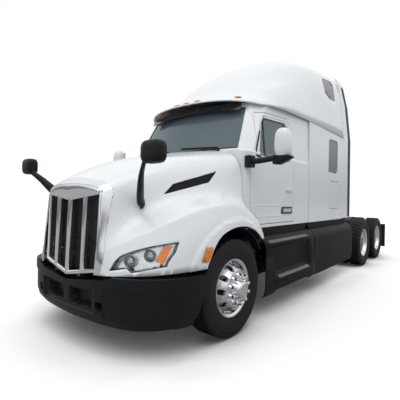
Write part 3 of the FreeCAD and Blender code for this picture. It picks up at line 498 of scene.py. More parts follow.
def add_wheels():
    for side, sign in SIDES:
        body = "front_wheel_" + side
        tyre = tyre_form(AXLE_X, sign * FRONT_WHEEL_Y, SHALLOW_CUT)
        tyre = tyre.piece("tread_front_" + side, body, "tyre_rubber", FLAT_SHADE)
        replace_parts(tyre, "tyre_front_" + side)
        nuts = nut_form(AXLE_X, sign * (FRONT_WHEEL_Y + FRONT_NUTS_OUT), sign)
        nuts.piece("nut_covers_front_" + side, body, "chrome_bright")
        for place, x in DRIVE_AXLES:
            body = place + "_drive_wheels_" + side
            twins = Form()
            for y in (OUTER_DUAL_Y, INNER_DUAL_Y):
                twins.joined(tyre_form(x, sign * y, TREAD_DEPTH))
            tyre = twins.piece("treads_" + place + "_" + side, body, "tyre_rubber", FLAT_SHADE)
            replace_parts(tyre, "tyres_" + place + "_" + side)
            nuts = nut_form(x, sign * (OUTER_DUAL_Y - DRIVE_NUTS_IN), sign)
            nuts.piece("nut_covers_" + place + "_" + side, body, "chrome_bright")


# Seating pieces on the truck
def surface_of(*meshes):
    """The surfaces of some meshes, to seat pieces on."""
    points = []
    faces = []
    for mesh in meshes:
        start = len(points)
        points += [v.co.copy() for v in mesh.vertices]
        faces += [tuple(start + i for i in p.vertices) for p in mesh.polygons]
    return BVHTree.FromPolygons(points, faces)


def tree_of(*names):
    return surface_of(*(frame["nodes"][name].data for name in names))


def seated(tree, start, aim, lift=0.0):
    """The first point met from start along aim, lifted back off the surface."""
    aim = Vector(aim).normalized()
    found = tree.ray_cast(Vector(start), aim)[0]
    return None if found is None else found - aim * lift


def beside(tree, x, z, lift=0.0):
    """A point on the truck's left flank, given forward of the front axle."""
    return seated(tree, (x + AXLE_X, RAY_START_Y, z), (0, -1, 0), lift)


def in_front(tree, y, z, lift=0.0):
    """A point on the truck's face."""
    return seated(tree, (RAY_START_X, y, z), BACKWARD, lift)


def spread(points, gap):
    """Points no further apart than a gap along a line."""
    line = []
    for a, b in zip(points, points[1:]):
        a, b = Vector(a), Vector(b)
        steps = max(1, round((b - a).length / gap))
        line += [a.lerp(b, k / steps) for k in range(steps)]
    return line + [Vector(points[-1])]


def eased(points, radius, steps=4):
    """A closed outline with its corners cut round."""
    line = []
    count = len(points)
    for i in range(count):
        before, here, after = (Vector(points[(i + k) % count]) for k in (-1, 0, 1))
        into = (before - here).normalized() * min(radius, (before - here).length * 0.45)
        out = (after - here).normalized() * min(radius, (after - here).length * 0.45)
        for k in range(steps + 1):
            t = k / steps
            line.append((here + into).lerp(here, t).lerp(here.lerp(here + out, t), t))
    return line


# Moulded forms
def ease(value, low, high):
    """Zero below low and one above high, or the other way round, with soft ends."""
    t = min(1.0, max(0.0, (value - low) / (high - low)))
    return t * t * (3 - 2 * t)


def smooth_line(points, gap):
    """A smooth line through points, cut into steps of about one gap."""
    points = [Vector(p) for p in points]
    line = []
    for i in range(len(points) - 1):
        p0 = points[max(i - 1, 0)]
        p1, p2 = points[i], points[i + 1]
        p3 = points[min(i + 2, len(points) - 1)]
        steps = max(1, round((p2 - p1).length / gap))
        for k in range(steps):
            t = k / steps
            line.append(0.5 * (2 * p1 + (p2 - p0) * t + (2 * p0 - 5 * p1 + 4 * p2 - p3) * t * t
                               + (3 * p1 - p0 - 3 * p2 + p3) * t ** 3))
    return line + [points[-1]]


def rounded_head(centre, halves, corner=0.36, rows=18, around=32):
    """A softly cornered block: a sphere pulled out toward its box."""
    rings = []
    for i in range(1, rows):
        v = math.pi * (i / rows - 0.5)
        ring = []
        for k in range(around):
            u = 2 * math.pi * k / around
            out = [math.cos(v) * math.cos(u), math.cos(v) * math.sin(u), math.sin(v)]
            size = sum(abs(c) ** (1 / corner) for c in out) ** corner
            ring.append(Vector(centre) + Vector([c / size * h for c, h in zip(out, halves)]))
        rings.append(ring)
    return Form().loft(rings)


# Bumper, given by its plan and by how far each place on its face is set in
BUMPER_PLAN = [(1.24, 0.0), (1.232, 0.22), (1.205, 0.52), (1.15, 0.76), (1.045, 0.94), (0.88, 1.08),
               (0.68, 1.16), (0.475, 1.19)]
BUMPER_FOOT = 0.285
BUMPER_WALL = 0.008
BUMPER_ROWS = 46
HEAD_MIDDLE = 0.632
HEAD_RISE = 0.068
HEAD_STEP = 0.038
GRILLE_REACH = 0.52
# Each sunk area has its depth, then its soft edges across and up.
SUNK_AREAS = (
    (0.032, ((0.475, 0.425),), ((0.372, 0.402), (0.612, 0.585))),
    (0.075, ((0.4, 0.385), (0.055, 0.075)), ((0.425, 0.44), (0.575, 0.56))),
    (0.011, ((0.575, 0.6), (0.985, 0.93)), ((0.35, 0.372), (0.64, 0.615))),
    (0.07, ((0.49, 0.498), (0.572, 0.564)), ((0.432, 0.44), (0.508, 0.5))),
    (-0.014, ((1.105, 1.125),), ()),
)
MOUNT_PLACES = (0.41, -0.45)
MOUNT_OUTLINE = ((0.94, 0.3), (1.13, 0.34), (1.13, 0.62), (0.94, 0.64))
MOUNT_WIDTH = 0.04


def bumper_head(y):
    """The height of the bumper's upper edge, which rises from the middle."""
    y = abs(y)
    return HEAD_MIDDLE + HEAD_RISE * min(1.0, y / GRILLE_REACH) + HEAD_STEP * ease(y, GRILLE_REACH, 0.66)


def bumper_inset(y, z):
    """How far the face is set in at a place: the foot's tuck and the sunk areas."""
    inset = 0.075 * max(0.0, (0.415 - z) / 0.13) ** 1.5
    for depth, across, up in SUNK_AREAS:
        for low, high in across:
            depth *= ease(abs(y), low, high)
        for low, high in up:
            depth *= ease(z, low, high)
        inset += depth
    return inset


def bumper_end(z):
    """How far back the bumper runs at a height, clear of the steered tyre."""
    return 0.64 - 0.1 * ease(z, BUMPER_FOOT, 0.64) - 0.04 * ease(z, 0.64, 0.76)


def bumper_face(half, column, z):
    """A point of the bumper's plan at a height, and the way out from it."""
    count = len(half) - 1
    sign = -1 if column < 0 else 1
    last = next(i for i, p in enumerate(half) if p.x < bumper_end(z) or i == count)
    place = abs(column) * last / count
    low = min(int(place), count - 1)
    point = half[low].lerp(half[low + 1], place - low)
    along = half[low + 1] - half[low - 1] if low else Vector((0, 1, 0))
    out = Vector((along.y, -along.x, 0)).normalized()
    return Vector((point.x, point.y * sign, z)), Vector((out.x, out.y * sign, 0))


def add_bumper():
    half = smooth_line([(x, y, 0) for x, y in BUMPER_PLAN], 0.012)
    count = len(half) - 1
    rings = []
    for column in range(-count, count + 1):
        foot, out = bumper_face(half, column, BUMPER_FOOT)
        head = bumper_head(foot.y)
        ring = [foot - out * 0.13 + Vector((0, 0, 0.004)), foot - out * 0.1]
        for k in range(BUMPER_ROWS + 1):
            p, out = bumper_face(half, column, BUMPER_FOOT + (head - BUMPER_FOOT) * k / BUMPER_ROWS)
            ring.append(p - out * bumper_inset(p.y, p.z))
        p, out = bumper_face(half, column, head)
        shelf = 0.15 + 0.26 * ease(abs(p.y), 0.95, 0.75)
        for back, rise in ((0.003, 0), (0.016, 0.004), (0.05, -0.016), (shelf, -0.045)):
            ring.append(p - out * back + Vector((0, 0, rise)))
        rings.append([at(*q) for q in ring])
    form = Form().loft(rings, closed=False, caps=False)
    made = form.piece("bumper_moulding", "chassis", "trim_black", sharp=50)
    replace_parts(walled(made, BUMPER_WALL), "bumper")
    arms = Form()
    for y in MOUNT_PLACES:
        arms.slab([at(x, y, z) for x, z in MOUNT_OUTLINE], (0, MOUNT_WIDTH, 0))
    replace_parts(arms.piece("bumper_mounts", "chassis", "trim_black", bevel=0.004), "bumper")


# Grille: its wires, bright surround and bars
OPENING = [(-0.447, 1.462), (-0.2, 1.432), (0, 1.404), (0.2, 1.432), (0.447, 1.462), (0.442, 0.792),
           (0, 0.716), (-0.442, 0.792)]
SURROUND = [(-0.482, 1.5), (-0.2, 1.5), (0, 1.5), (0.2, 1.5), (0.482, 1.5), (0.478, 0.752), (0, 0.668),
            (-0.478, 0.752)]
# Across the frame of the grille, as the share of its width and how far it lies behind the front
FRAME_PROFILE = ((0, 0.05), (0, 0.01), (0.12, 0.002), (0.35, -0.002), (0.65, -0.002), (0.88, 0.004),
                 (1, 0.012), (1, 0.05))
GRILLE_FRONT = 1.216
GRILLE_LEAN = 0.05
GRILLE_VEE = 0.028
GRILLE_HALF = 0.48
BAR_PLACES = ((-0.24, 1.452, 0.738), (0, 1.424, 0.7), (0.24, 1.452, 0.738))
BAR_HALF = 0.027
BAR_TAPER = 0.009
BAR_DEPTH = 0.03
BAR_BEHIND = 0.018
BAR_LEVELS = 12
BAR_SIDES = 8
WIRE_PITCH = 0.011
WIRE_RADIUS = 0.0016
WIRES_HALF = 0.445
WIRES_LOW = 0.735
WIRES_HIGH = 1.425
WIRES_SILL = 0.13
WIRES_BROW = 0.05


def face_x(y, z, behind=0.0):
    """The grille's front, leaning back as it rises, with a shallow vee."""
    return GRILLE_FRONT - GRILLE_LEAN * (z - 0.7) - GRILLE_VEE * abs(y) / GRILLE_HALF - behind


def add_grille_mesh():
    form = Form()
    count = int(WIRES_HALF / WIRE_PITCH)
    for k in range(-count, count + 1):
        y = k * WIRE_PITCH
        ends = (WIRES_LOW + WIRES_SILL * abs(y), WIRES_HIGH - WIRES_BROW * abs(y))
        form.tube([at(face_x(y, z, 0.045), y, z) for z in ends], WIRE_RADIUS, 4)
    for k in range(1, int((WIRES_HIGH - WIRES_LOW) / WIRE_PITCH)):
        z = WIRES_LOW + k * WIRE_PITCH
        reach = min(WIRES_HALF, max(0.02, (z - WIRES_LOW) / WIRES_SILL))
        form.tube([at(face_x(y, z, 0.048), y, z) for y in (-reach, 0.0, reach)], WIRE_RADIUS, 4)
    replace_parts(form.piece("grille_wires", "hood_lid", "gloss_black"), "grille_mesh")


def grille_bar(y, head, foot):
    """A half-round bar that narrows downward."""
    rings = []
    for k in range(BAR_LEVELS + 1):
        t = k / BAR_LEVELS
        z = head + (foot - head) * t
        half = BAR_HALF - BAR_TAPER * t
        turns = [math.pi * turn / BAR_SIDES for turn in range(BAR_SIDES + 1)]
        rings.append([at(face_x(y, z, BAR_BEHIND) + BAR_DEPTH * math.sin(a) ** 0.8, y + half * math.cos(a), z)
                      for a in turns])
    return Form().loft(rings)


def add_grille():
    rings = []
    for inner, outer in zip(OPENING, SURROUND):
        places = [(Vector(inner).lerp(Vector(outer), share), behind) for share, behind in FRAME_PROFILE]
        rings.append([at(face_x(p.x, p.y, behind), p.x, p.y) for p, behind in places])
    form = Form().loft(rings + rings[:1], caps=False)
    bars = Form()
    for bar in BAR_PLACES:
        bars.joined(grille_bar(*bar))
    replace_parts(form.joined(bars).piece("grille_surround", "hood_lid", "chrome_bright", sharp=40), "grille")


# Mirrors
STALK_FOOT = (0.835, 1.352)
STALK_BEND = (0.845, 1.4)
STALK_ROUTE = ((0.965, 0.8, 1.53), (1.04, 0.9, 1.64), (1.105, 1.01, 1.73), (1.11, 1.02, 1.75))
STALK_FLAT = 0.62
HOOD_HEAD = (1.09, 1.1, 1.8)
HOOD_HEAD_HALVES = (0.062, 0.116, 0.094)
CAB_HEAD = (-0.485, 1.45, 2.054)
CAB_HEAD_HALVES = (0.078, 0.087, 0.164)
ARM_ROUTE = ((-0.412, 1.06, 1.868), (-0.425, 1.2, 1.872), (-0.455, 1.34, 1.89), (-0.48, 1.42, 1.9))
ARM_RADII = [0.042, 0.038, 0.036, 0.034]
ARM_FOOT = ((1.352, 1.925), (1.545, 1.915), (1.565, 1.895), (1.48, 1.85), (1.41, 1.822), (1.35, 1.828))
ARM_BLOCK = ((-0.462, 1.8), (-0.362, 1.8), (-0.362, 1.936), (-0.462, 1.936))
GLASS_THICK = 0.012
CAB_GLASS = ((-0.566, 1.45, 2.054), (0.06, 0.066, 0.132), "cab_mirror_glass", "chassis")
HOOD_GLASS = ((1.028, 1.105, 1.797), (0.07, 0.078, 0.06), "hood_mirror_glass", "hood_lid")


def stalk_form():
    """The hood mirror's stalk, swelling out of the hood and thinner toward its head."""
    hood = tree_of("hood_shell")
    low = beside(hood, *STALK_FOOT)
    mid = beside(hood, *STALK_BEND)
    start = [low + Vector((0, 0, -0.01)), low + Vector((0, 0.022, 0.015)), mid + Vector((0.03, 0.05, 0.015))]
    path = smooth_line(start + [at(*p) for p in STALK_ROUTE], 0.02)
    shares = [k / len(path) for k in range(len(path))]
    girth = [0.022 + 0.03 * ease(t, 0.0, 0.14) - 0.024 * ease(t, 0.25, 0.95) for t in shares]
    return Form().tube(path, girth, 20, STALK_FLAT)


def add_mirrors():
    pair = stalk_form().joined(rounded_head(at(*HOOD_HEAD), HOOD_HEAD_HALVES, 0.26)).both()
    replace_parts(pair.piece("hood_mirror_pair", "hood_lid", "trim_black", sharp=60), "hood_mirrors")
    shells = rounded_head(at(*CAB_HEAD), CAB_HEAD_HALVES, 0.34).both()
    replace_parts(shells.piece("cab_mirror_heads", "chassis", "body_white", sharp=60), "cab_mirrors")
    arms = Form().tube([at(*p) for p in ARM_ROUTE], ARM_RADII, 16, 0.8)
    arms.slab([at(-0.545, y, z) for y, z in ARM_FOOT], (0.12, 0, 0), 0.014)
    arms.slab([at(x, 1.04, z) for x, z in ARM_BLOCK], (0, 0.085, 0), 0.01)
    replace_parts(arms.both().piece("cab_mirror_arms", "chassis", "trim_black", sharp=45), "cab_mirrors")
    for (x, y, z), (half, bulge, up), title, body in (CAB_GLASS, HOOD_GLASS):
        outline = ((-half, -up), (half, -up), (bulge, 0), (half, up), (-half, up), (-bulge, 0))
        glass = Form().slab([at(x, y + dy, z + dz) for dy, dz in outline], (GLASS_THICK, 0, 0), 0.002)
        glass.both().piece(title, body, "chrome_bright")


# Skirts, each section given as (out, up) from the cab down
STEPPED = [(1.045, 1.088), (1.045, 0.992), (1.1, 0.982), (1.15, 0.936), (1.206, 0.908), (1.206, 0.88),
           (1.166, 0.846), (1.14, 0.72), (1.142, 0.53), (1.168, 0.482), (1.212, 0.448), (1.212, 0.412),
           (1.188, 0.372), (1.176, 0.31), (1.14, 0.282)]
PLAIN = [(1.045, 1.088), (1.045, 0.992), (1.095, 0.984), (1.14, 0.95), (1.172, 0.9), (1.184, 0.86),
         (1.188, 0.83), (1.19, 0.74), (1.19, 0.6), (1.19, 0.5), (1.19, 0.44), (1.188, 0.39), (1.182, 0.34),
         (1.17, 0.285), (1.14, 0.255)]
SKIRT_FRONT = [-0.645, -0.665, -0.69, -0.76, -0.9, -0.96, -1.5, -1.94, -2.0, -2.06, -2.12, -2.21]
SKIRT_REAR = [-2.232, -2.245, -2.4, -3.3, -4.18, -4.262, -4.275]
UPPER_STEP = ((-1.99, -1.93), (-0.64, -0.69))
LOWER_STEP = ((-2.07, -2.0), (-0.9, -0.96))
UPPER_COUNT = 8
SEAM_EDGES = (((-2.222, -2.24), (-2.262, -2.244)), ((-2.222, -2.206), (-2.182, -2.2)))
SEAM_DEPTH = 0.01
SKIRT_WALL = 0.014


def between(value, edges):
    return math.prod(ease(value, low, high) for low, high in edges)


def skirt_panel(stations):
    rings = []
    for x in stations:
        upper = between(x, UPPER_STEP)
        lower = between(x, LOWER_STEP)
        pinch = SEAM_DEPTH * sum(between(x, edges) for edges in SEAM_EDGES)
        ring = [Vector(plain).lerp(Vector(step), upper if i < UPPER_COUNT else lower)
                for i, (plain, step) in enumerate(zip(PLAIN, STEPPED))]
        outer = [at(x, y - pinch, z) for y, z in ring]
        inner = [at(x, y - SKIRT_WALL, z) for y, z in ring[::-1]]
        rings.append(outer + inner)
    return Form().loft(rings)


def add_skirts():
    form = skirt_panel(SKIRT_FRONT).joined(skirt_panel(SKIRT_REAR)).both()
    made = form.piece("skirt_mouldings", "chassis", "trim_black", sharp=24, bevel=0.004, finish="skirt_black")
    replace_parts(made, "side_fairings")
    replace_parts(made, "fairing_steps")


# Smooth sheets, drawn from a net of poles and cut along outlines
CUT_MARGIN = 0.06


def on_spline(poles, t):
    """A point on a clamped cubic curve drawn from its poles."""
    spans = len(poles) - 3
    first = min(int(t * spans), spans - 1)
    work = [Vector(p) for p in poles[first:first + 4]]
    for level in range(1, 4):
        for j in range(3, level - 1, -1):
            low = max(first + j - 3, 0) / spans
            high = min(first + j + 1 - level, spans) / spans
            share = (t - low) / (high - low)
            work[j] = work[j - 1].lerp(work[j], share)
    return work[3]


def half_sheet(net, rows, columns):
    """The left half of a smooth sheet whose net runs from the middle to the side."""
    whole = [[(x, -y, z) for x, y, z in line[:0:-1]] + list(line) for line in net]
    count = len(whole[0])
    along = [[on_spline([line[j] for line in whole], i / rows) for j in range(count)]
             for i in range(rows + 1)]
    shares = [0.5 + 0.5 * j / columns for j in range(columns + 1)]
    rings = [[at(*on_spline(line, t)) for t in shares] for line in along]
    return Form().loft(rings, closed=False, caps=False)


def inside(outline, a, b):
    hit = False
    for (pa, pb), (qa, qb) in zip(outline, outline[1:] + outline[:1]):
        if (pb > b) != (qb > b) and a < pa + (b - pb) / (qb - pb) * (qa - pa):
            hit = not hit
    return hit


def split_along(work, outline, first, near):
    """Splits the faces near an outline along each of its edges."""
    for (pa, pb), (qa, qb) in zip(outline, outline[1:] + outline[:1]):
        faces = [f for f in work.faces if near(f.calc_center_median())]
        edges = list(dict.fromkeys(e for f in faces for e in f.edges))
        points = list(dict.fromkeys(v for f in faces for v in f.verts))
        place = [0.0, 0.0, pb]
        place[first] = pa
        normal = [0.0, 0.0, pa - qa]
        normal[first] = qb - pb
        bmesh.ops.bisect_plane(work, geom=faces + edges + points, plane_co=place, plane_no=normal, dist=1e-6)
    work.verts.index_update()


def cut_sheet(form, outline, across="y", least=-9.0):
    """Cuts an outline seen along one axis out of a sheet, and gives back the rest and the piece cut out."""
    first = 0 if across == "y" else 1
    outline = [(a + (0.0 if first else AXLE_X), b) for a, b in outline]
    least += AXLE_X if first else 0.0
    low = [min(p[k] for p in outline) - CUT_MARGIN for k in (0, 1)]
    high = [max(p[k] for p in outline) + CUT_MARGIN for k in (0, 1)]

    def near(middle):
        return low[0] < middle[first] < high[0] and low[1] < middle.z < high[1] and middle[1 - first] > least

    work = bmesh.new()
    points = [work.verts.new(p) for p in form.points]
    for face in form.faces:
        work.faces.new([points[i] for i in face])
    split_along(work, outline, first, near)
    rest, pane = Form(), Form()
    for target, wanted in ((rest, False), (pane, True)):
        target.points = [v.co.copy() for v in work.verts]
        for face in work.faces:
            middle = face.calc_center_median()
            if (near(middle) and inside(outline, middle[first], middle.z)) == wanted:
                target.faces.append(tuple(v.index for v in face.verts))
    work.free()
    return rest.trimmed(), pane.trimmed()


def sheet_piece(form, name, body, slot, thick, shift=(0, 0, 0), finish=None):
    """Both sides of a sheet as one panel of even thickness."""
    form.points = [p + Vector(shift) for p in form.points]
    return walled(form.both().piece(name, body, slot, sharp=50, finish=finish, weld=True), thick)


# Hood skin with the pieces that are let into it
HOOD_NET = [
    [(1.2, 0, 1.56), (1.19, 0.16, 1.56), (1.17, 0.34, 1.545), (1.14, 0.47, 1.52), (1.15, 0.49, 1.4),
     (1.17, 0.49, 1.2), (1.19, 0.485, 1.05), (1.2, 0.48, 0.93), (1.21, 0.48, 0.83), (1.215, 0.475, 0.745)],
    [(1.1, 0, 1.63), (1.09, 0.18, 1.63), (1.07, 0.38, 1.61), (1.03, 0.52, 1.57), (1.02, 0.57, 1.42),
     (1.05, 0.575, 1.22), (1.085, 0.585, 1.08), (1.115, 0.64, 0.99), (1.14, 0.66, 0.86),
     (1.165, 0.64, 0.745)],
    [(0.85, 0, 1.76), (0.84, 0.2, 1.755), (0.82, 0.44, 1.73), (0.79, 0.58, 1.68), (0.78, 0.64, 1.52),
     (0.8, 0.65, 1.36), (0.85, 0.725, 1.25), (0.93, 0.88, 1.14), (1.0, 0.905, 0.92), (1.02, 0.885, 0.755)],
    [(0.5, 0, 1.88), (0.5, 0.24, 1.875), (0.49, 0.52, 1.85), (0.47, 0.68, 1.79), (0.46, 0.765, 1.62),
     (0.47, 0.78, 1.48), (0.5, 0.86, 1.41), (0.57, 1.075, 1.33), (0.69, 1.125, 1.0), (0.78, 1.09, 0.775)],
    [(0.15, 0, 1.96), (0.15, 0.27, 1.955), (0.15, 0.6, 1.93), (0.14, 0.78, 1.87), (0.13, 0.875, 1.7),
     (0.13, 0.895, 1.54), (0.13, 0.97, 1.45), (0.16, 1.17, 1.4), (0.23, 1.225, 1.12), (0.35, 1.2, 0.79)],
    [(-0.09, 0, 2.005), (-0.09, 0.3, 2.0), (-0.09, 0.66, 1.975), (-0.095, 0.86, 1.915),
     (-0.1, 0.95, 1.75), (-0.1, 0.965, 1.57), (-0.11, 1.01, 1.45), (-0.13, 1.175, 1.39),
     (-0.12, 1.225, 1.14), (-0.05, 1.2, 0.8)],
    [(-0.335, 0, 2.045), (-0.335, 0.32, 2.04), (-0.335, 0.7, 2.015), (-0.335, 0.92, 1.96),
     (-0.335, 1.02, 1.8), (-0.335, 1.03, 1.56), (-0.33, 1.04, 1.37), (-0.45, 1.145, 1.225),
     (-0.54, 1.2, 1.07), (-0.6, 1.2, 0.82)],
]
HOOD_STEPS = 110
CREST = 7
INNER_SHARE = 0.22
OUTER_SHARE = 0.16
VENT = [(0.611, 1.469), (0.5, 1.578), (-0.007, 1.732), (0.108, 1.608)]
MARKER = [(0.487, 0.982), (0.404, 0.972), (0.465, 0.85), (0.542, 0.858)]
LAMP = [(0.624, 0.792), (0.659, 0.874), (0.694, 0.922), (0.791, 0.971), (0.909, 1.013), (1.051, 1.044),
        (1.047, 0.96), (1.021, 0.877), (1.014, 0.835), (0.976, 0.827), (0.8, 0.784), (0.762, 0.821)]
ARCH_HEIGHT = 0.53
ARCH = [(-0.64, 0.5), (-0.61, 0.78), (-0.545, 0.92), (-0.466, 1.01), (-0.34, 1.09), (-0.163, 1.144),
        (0.058, 1.15), (0.24, 1.102), (0.335, 1.035), (0.395, 0.955), (0.44, 0.865), (0.478, 0.77),
        (0.51, 0.5)]
REAR_CUT = [(-0.8, 0.7), (-0.8, 0.985), (-0.4, 0.985), (-0.4, 0.7)]
COLLAR = [(1.4, 1.8), (1.115, 1.8), (1.105, 1.6), (1.06, 1.54), (1.045, 1.48), (1.075, 1.4), (1.11, 1.2),
          (1.145, 1.05), (1.165, 0.93), (1.195, 0.74), (1.2, 0.6), (1.4, 0.6)]
FLANGE = 0.013
FLANGE_REACH = (0.715, 0.69)
FLANGE_OUT = (0.95, 1.05)
HOOD_WALL = 0.012
BROW_LOW = 1.404
BROW_RISE = 0.058
BROW_HALF = 0.447
BROW_SWELL = 0.01
LAMP_CENTRES = [(0.772, 0.88), (0.905, 0.93)]
LAMP_AIM = (0.86, 0.51, 0.02)
LAMP_DEPTH = (-0.056, -0.033, 0)
BOWL = ((-0.03, 0.03), (-0.026, 0.04), (0.002, 0.054), (0.012, 0.058), (0.014, 0.054), (0.004, 0.048),
        (-0.012, 0.038), (-0.014, 0.001))
PROJECTOR = ((-0.013, 0.034), (-0.004, 0.033), (0.004, 0.028), (0.01, 0.018), (0.013, 0.008), (0.014, 0.001))
BOWL_DEPTH = 0.03
AMBER_CORNERS = [(0.975, 1.01), (1.022, 1.012), (0.992, 0.856), (0.945, 0.88)]
AMBER_DEPTH = 0.026
AMBER_THICK = 0.016
LIP_SECTION = ((0.003, 0.004), (-0.014, 0.004), (-0.014, 0.034), (0.003, 0.034))
LIP_OUT = 0.01
HINGE_BAR = ((1.085, 0.855), (1.118, 0.855), (1.118, 0.895), (1.085, 0.895))
HINGE_BAR_HALF = 0.59
HINGE_ARM = ((1.085, 0.895), (1.12, 0.895), (1.12, 0.712), (1.195, 0.712), (1.195, 0.686), (1.085, 0.686))
HINGE_ARM_PLACES = (0.175, -0.2)
HINGE_ARM_WIDTH = 0.025


def creased(line):
    """A row of poles with two more beside its crest, which pull the sheet to a firmer edge there."""
    crest = Vector(line[CREST])
    inner = crest.lerp(Vector(line[CREST - 1]), INNER_SHARE)
    outer = crest.lerp(Vector(line[CREST + 1]), OUTER_SHARE)
    return line[:CREST] + [tuple(inner), tuple(crest), tuple(outer)] + line[CREST + 1:]


def add_crown(edge):
    """The bright brow between the grille's opening and the hood's front edge."""
    rings = []
    for top in edge:
        if top.y > 0.462:
            break
        low_z = BROW_LOW + BROW_RISE * top.y / BROW_HALF
        low = at(face_x(top.y, low_z, -0.004), top.y, low_z)
        ring = [low - Vector((0.03, 0, 0))]
        for k in range(9):
            t = k / 8
            ring.append(low.lerp(top, t) + Vector((0.7, 0, 0.7)) * BROW_SWELL * math.sin(math.pi * t))
        rings.append(ring)
    crown = Form().loft(rings, closed=False, caps=False)
    sheet_piece(crown, "grille_crown", "hood_lid", "chrome_bright", 0.003)


def add_headlamps(tree):
    """Bowls, projectors and indicators behind the lamp covers of the hood's sheet."""
    aim = Vector(LAMP_AIM).normalized()
    bowls = Form()
    eyes = Form()
    for y, z in LAMP_CENTRES:
        centre = in_front(tree, y, z) - aim * BOWL_DEPTH
        bowls.turned(BOWL, centre, aim, 36)
        eyes.turned(PROJECTOR, centre, aim, 32)
    bowls.both().piece("lamp_bowls", "hood_lid", "chrome_bright", finish="lamp_grey")
    eyes.both().piece("lamp_projectors", "hood_lid", "gloss_black", finish="lamp_smoked")
    corners = [in_front(tree, y, z) - aim * AMBER_DEPTH for y, z in AMBER_CORNERS]
    Form().slab(corners, aim * AMBER_THICK, 0.003).both().piece("lamp_indicators", "hood_lid", "lamp_amber")


def add_hinge_frame():
    form = Form()
    form.slab([at(x, -HINGE_BAR_HALF, z) for x, z in HINGE_BAR], (0, 2 * HINGE_BAR_HALF, 0))
    for y in HINGE_ARM_PLACES:
        form.slab([at(x, y, z) for x, z in HINGE_ARM], (0, HINGE_ARM_WIDTH, 0))
    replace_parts(form.piece("hood_arms", "hood_lid", "frame_paint"), "hood_shell")


def add_lamp_backs(lens, line):
    """The lamp's housing: the cover's own shape set back, and walls from its rim."""
    inward = Vector(LAMP_DEPTH)
    ring = line + line[:1]
    lens.points = [p + inward for p in lens.points]
    lens.loft([ring, [p + inward for p in ring]], closed=False, caps=False)
    sheet_piece(lens, "lamp_backs", "hood_lid", "lamp_lens", 0.003, finish="lamp_silver")


def add_arch_lips(tree, arch):
    """A dark lip inside the edge of each wheel arch."""
    rings = []
    for x, z in arch[3:-3]:
        ray = Vector((x, 0, z - ARCH_HEIGHT)).normalized()
        hit = beside(tree, x + ray.x * LIP_OUT, z + ray.z * LIP_OUT)
        if hit is None or (x < REAR_CUT[2][0] and z < REAR_CUT[2][1]):
            continue
        rings.append([at(x, hit.y - drop, z) + ray * reach for reach, drop in LIP_SECTION])
    Form().loft(rings).both().piece("arch_lips", "hood_lid", "trim_black")


def add_hood():
    sheet = half_sheet([creased(line) for line in HOOD_NET], HOOD_STEPS, HOOD_STEPS)
    tree = BVHTree.FromPolygons(sheet.points, sheet.faces)
    add_crown([p.copy() for p in sheet.points[:HOOD_STEPS + 1]])
    add_headlamps(tree)
    for p in sheet.points:
        reach = math.hypot(p.x - AXLE_X, p.z - ARCH_HEIGHT)
        p.y += FLANGE * ease(reach, *FLANGE_REACH) * ease(p.y, *FLANGE_OUT)
    arch = [(p.x, p.y) for p in smooth_line([(x, z, 0) for x, z in ARCH], 0.03)]
    sheet = cut_sheet(sheet, arch, least=0.59)[0]
    sheet = cut_sheet(sheet, REAR_CUT, least=0.59)[0]
    sheet, vent = cut_sheet(sheet, VENT, least=0.6)
    sheet, marker = cut_sheet(sheet, MARKER, least=0.8)
    sheet, lens = cut_sheet(sheet, LAMP, across="x", least=0.48)
    sheet, collar = cut_sheet(sheet, COLLAR)
    sheet_piece(collar, "grille_collar", "hood_lid", "chrome_bright", 0.013)
    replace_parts(sheet_piece(sheet, "hood_skin", "hood_lid", "body_white", HOOD_WALL), "hood_shell")
    add_hinge_frame()
    cover = Form().copied(lens)
    for form, title, slot, thick, shift, node in (
            (vent, "vent_backs", "trim_black", 0.004, (0, -0.012, 0), "hood_vents"),
            (marker, "marker_lenses", "lamp_amber", 0.01, (0.006, 0.014, 0), "fender_markers"),
            (cover, "lamp_covers", "lamp_lens", 0.003, (0, 0, 0), "headlamps")):
        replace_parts(sheet_piece(form, title, "hood_lid", slot, thick, shift), node)
    line = [in_front(tree, p.x, p.y) for p in spread(LAMP + LAMP[:1], 0.02)[:-1]]
    add_lamp_backs(lens, line)
    rim = Form().tube(line + line[:2], 0.0065, 8)
    rim.both().piece("lamp_rims", "hood_lid", "edge_rubber", sharp=60)
    add_arch_lips(tree, arch)


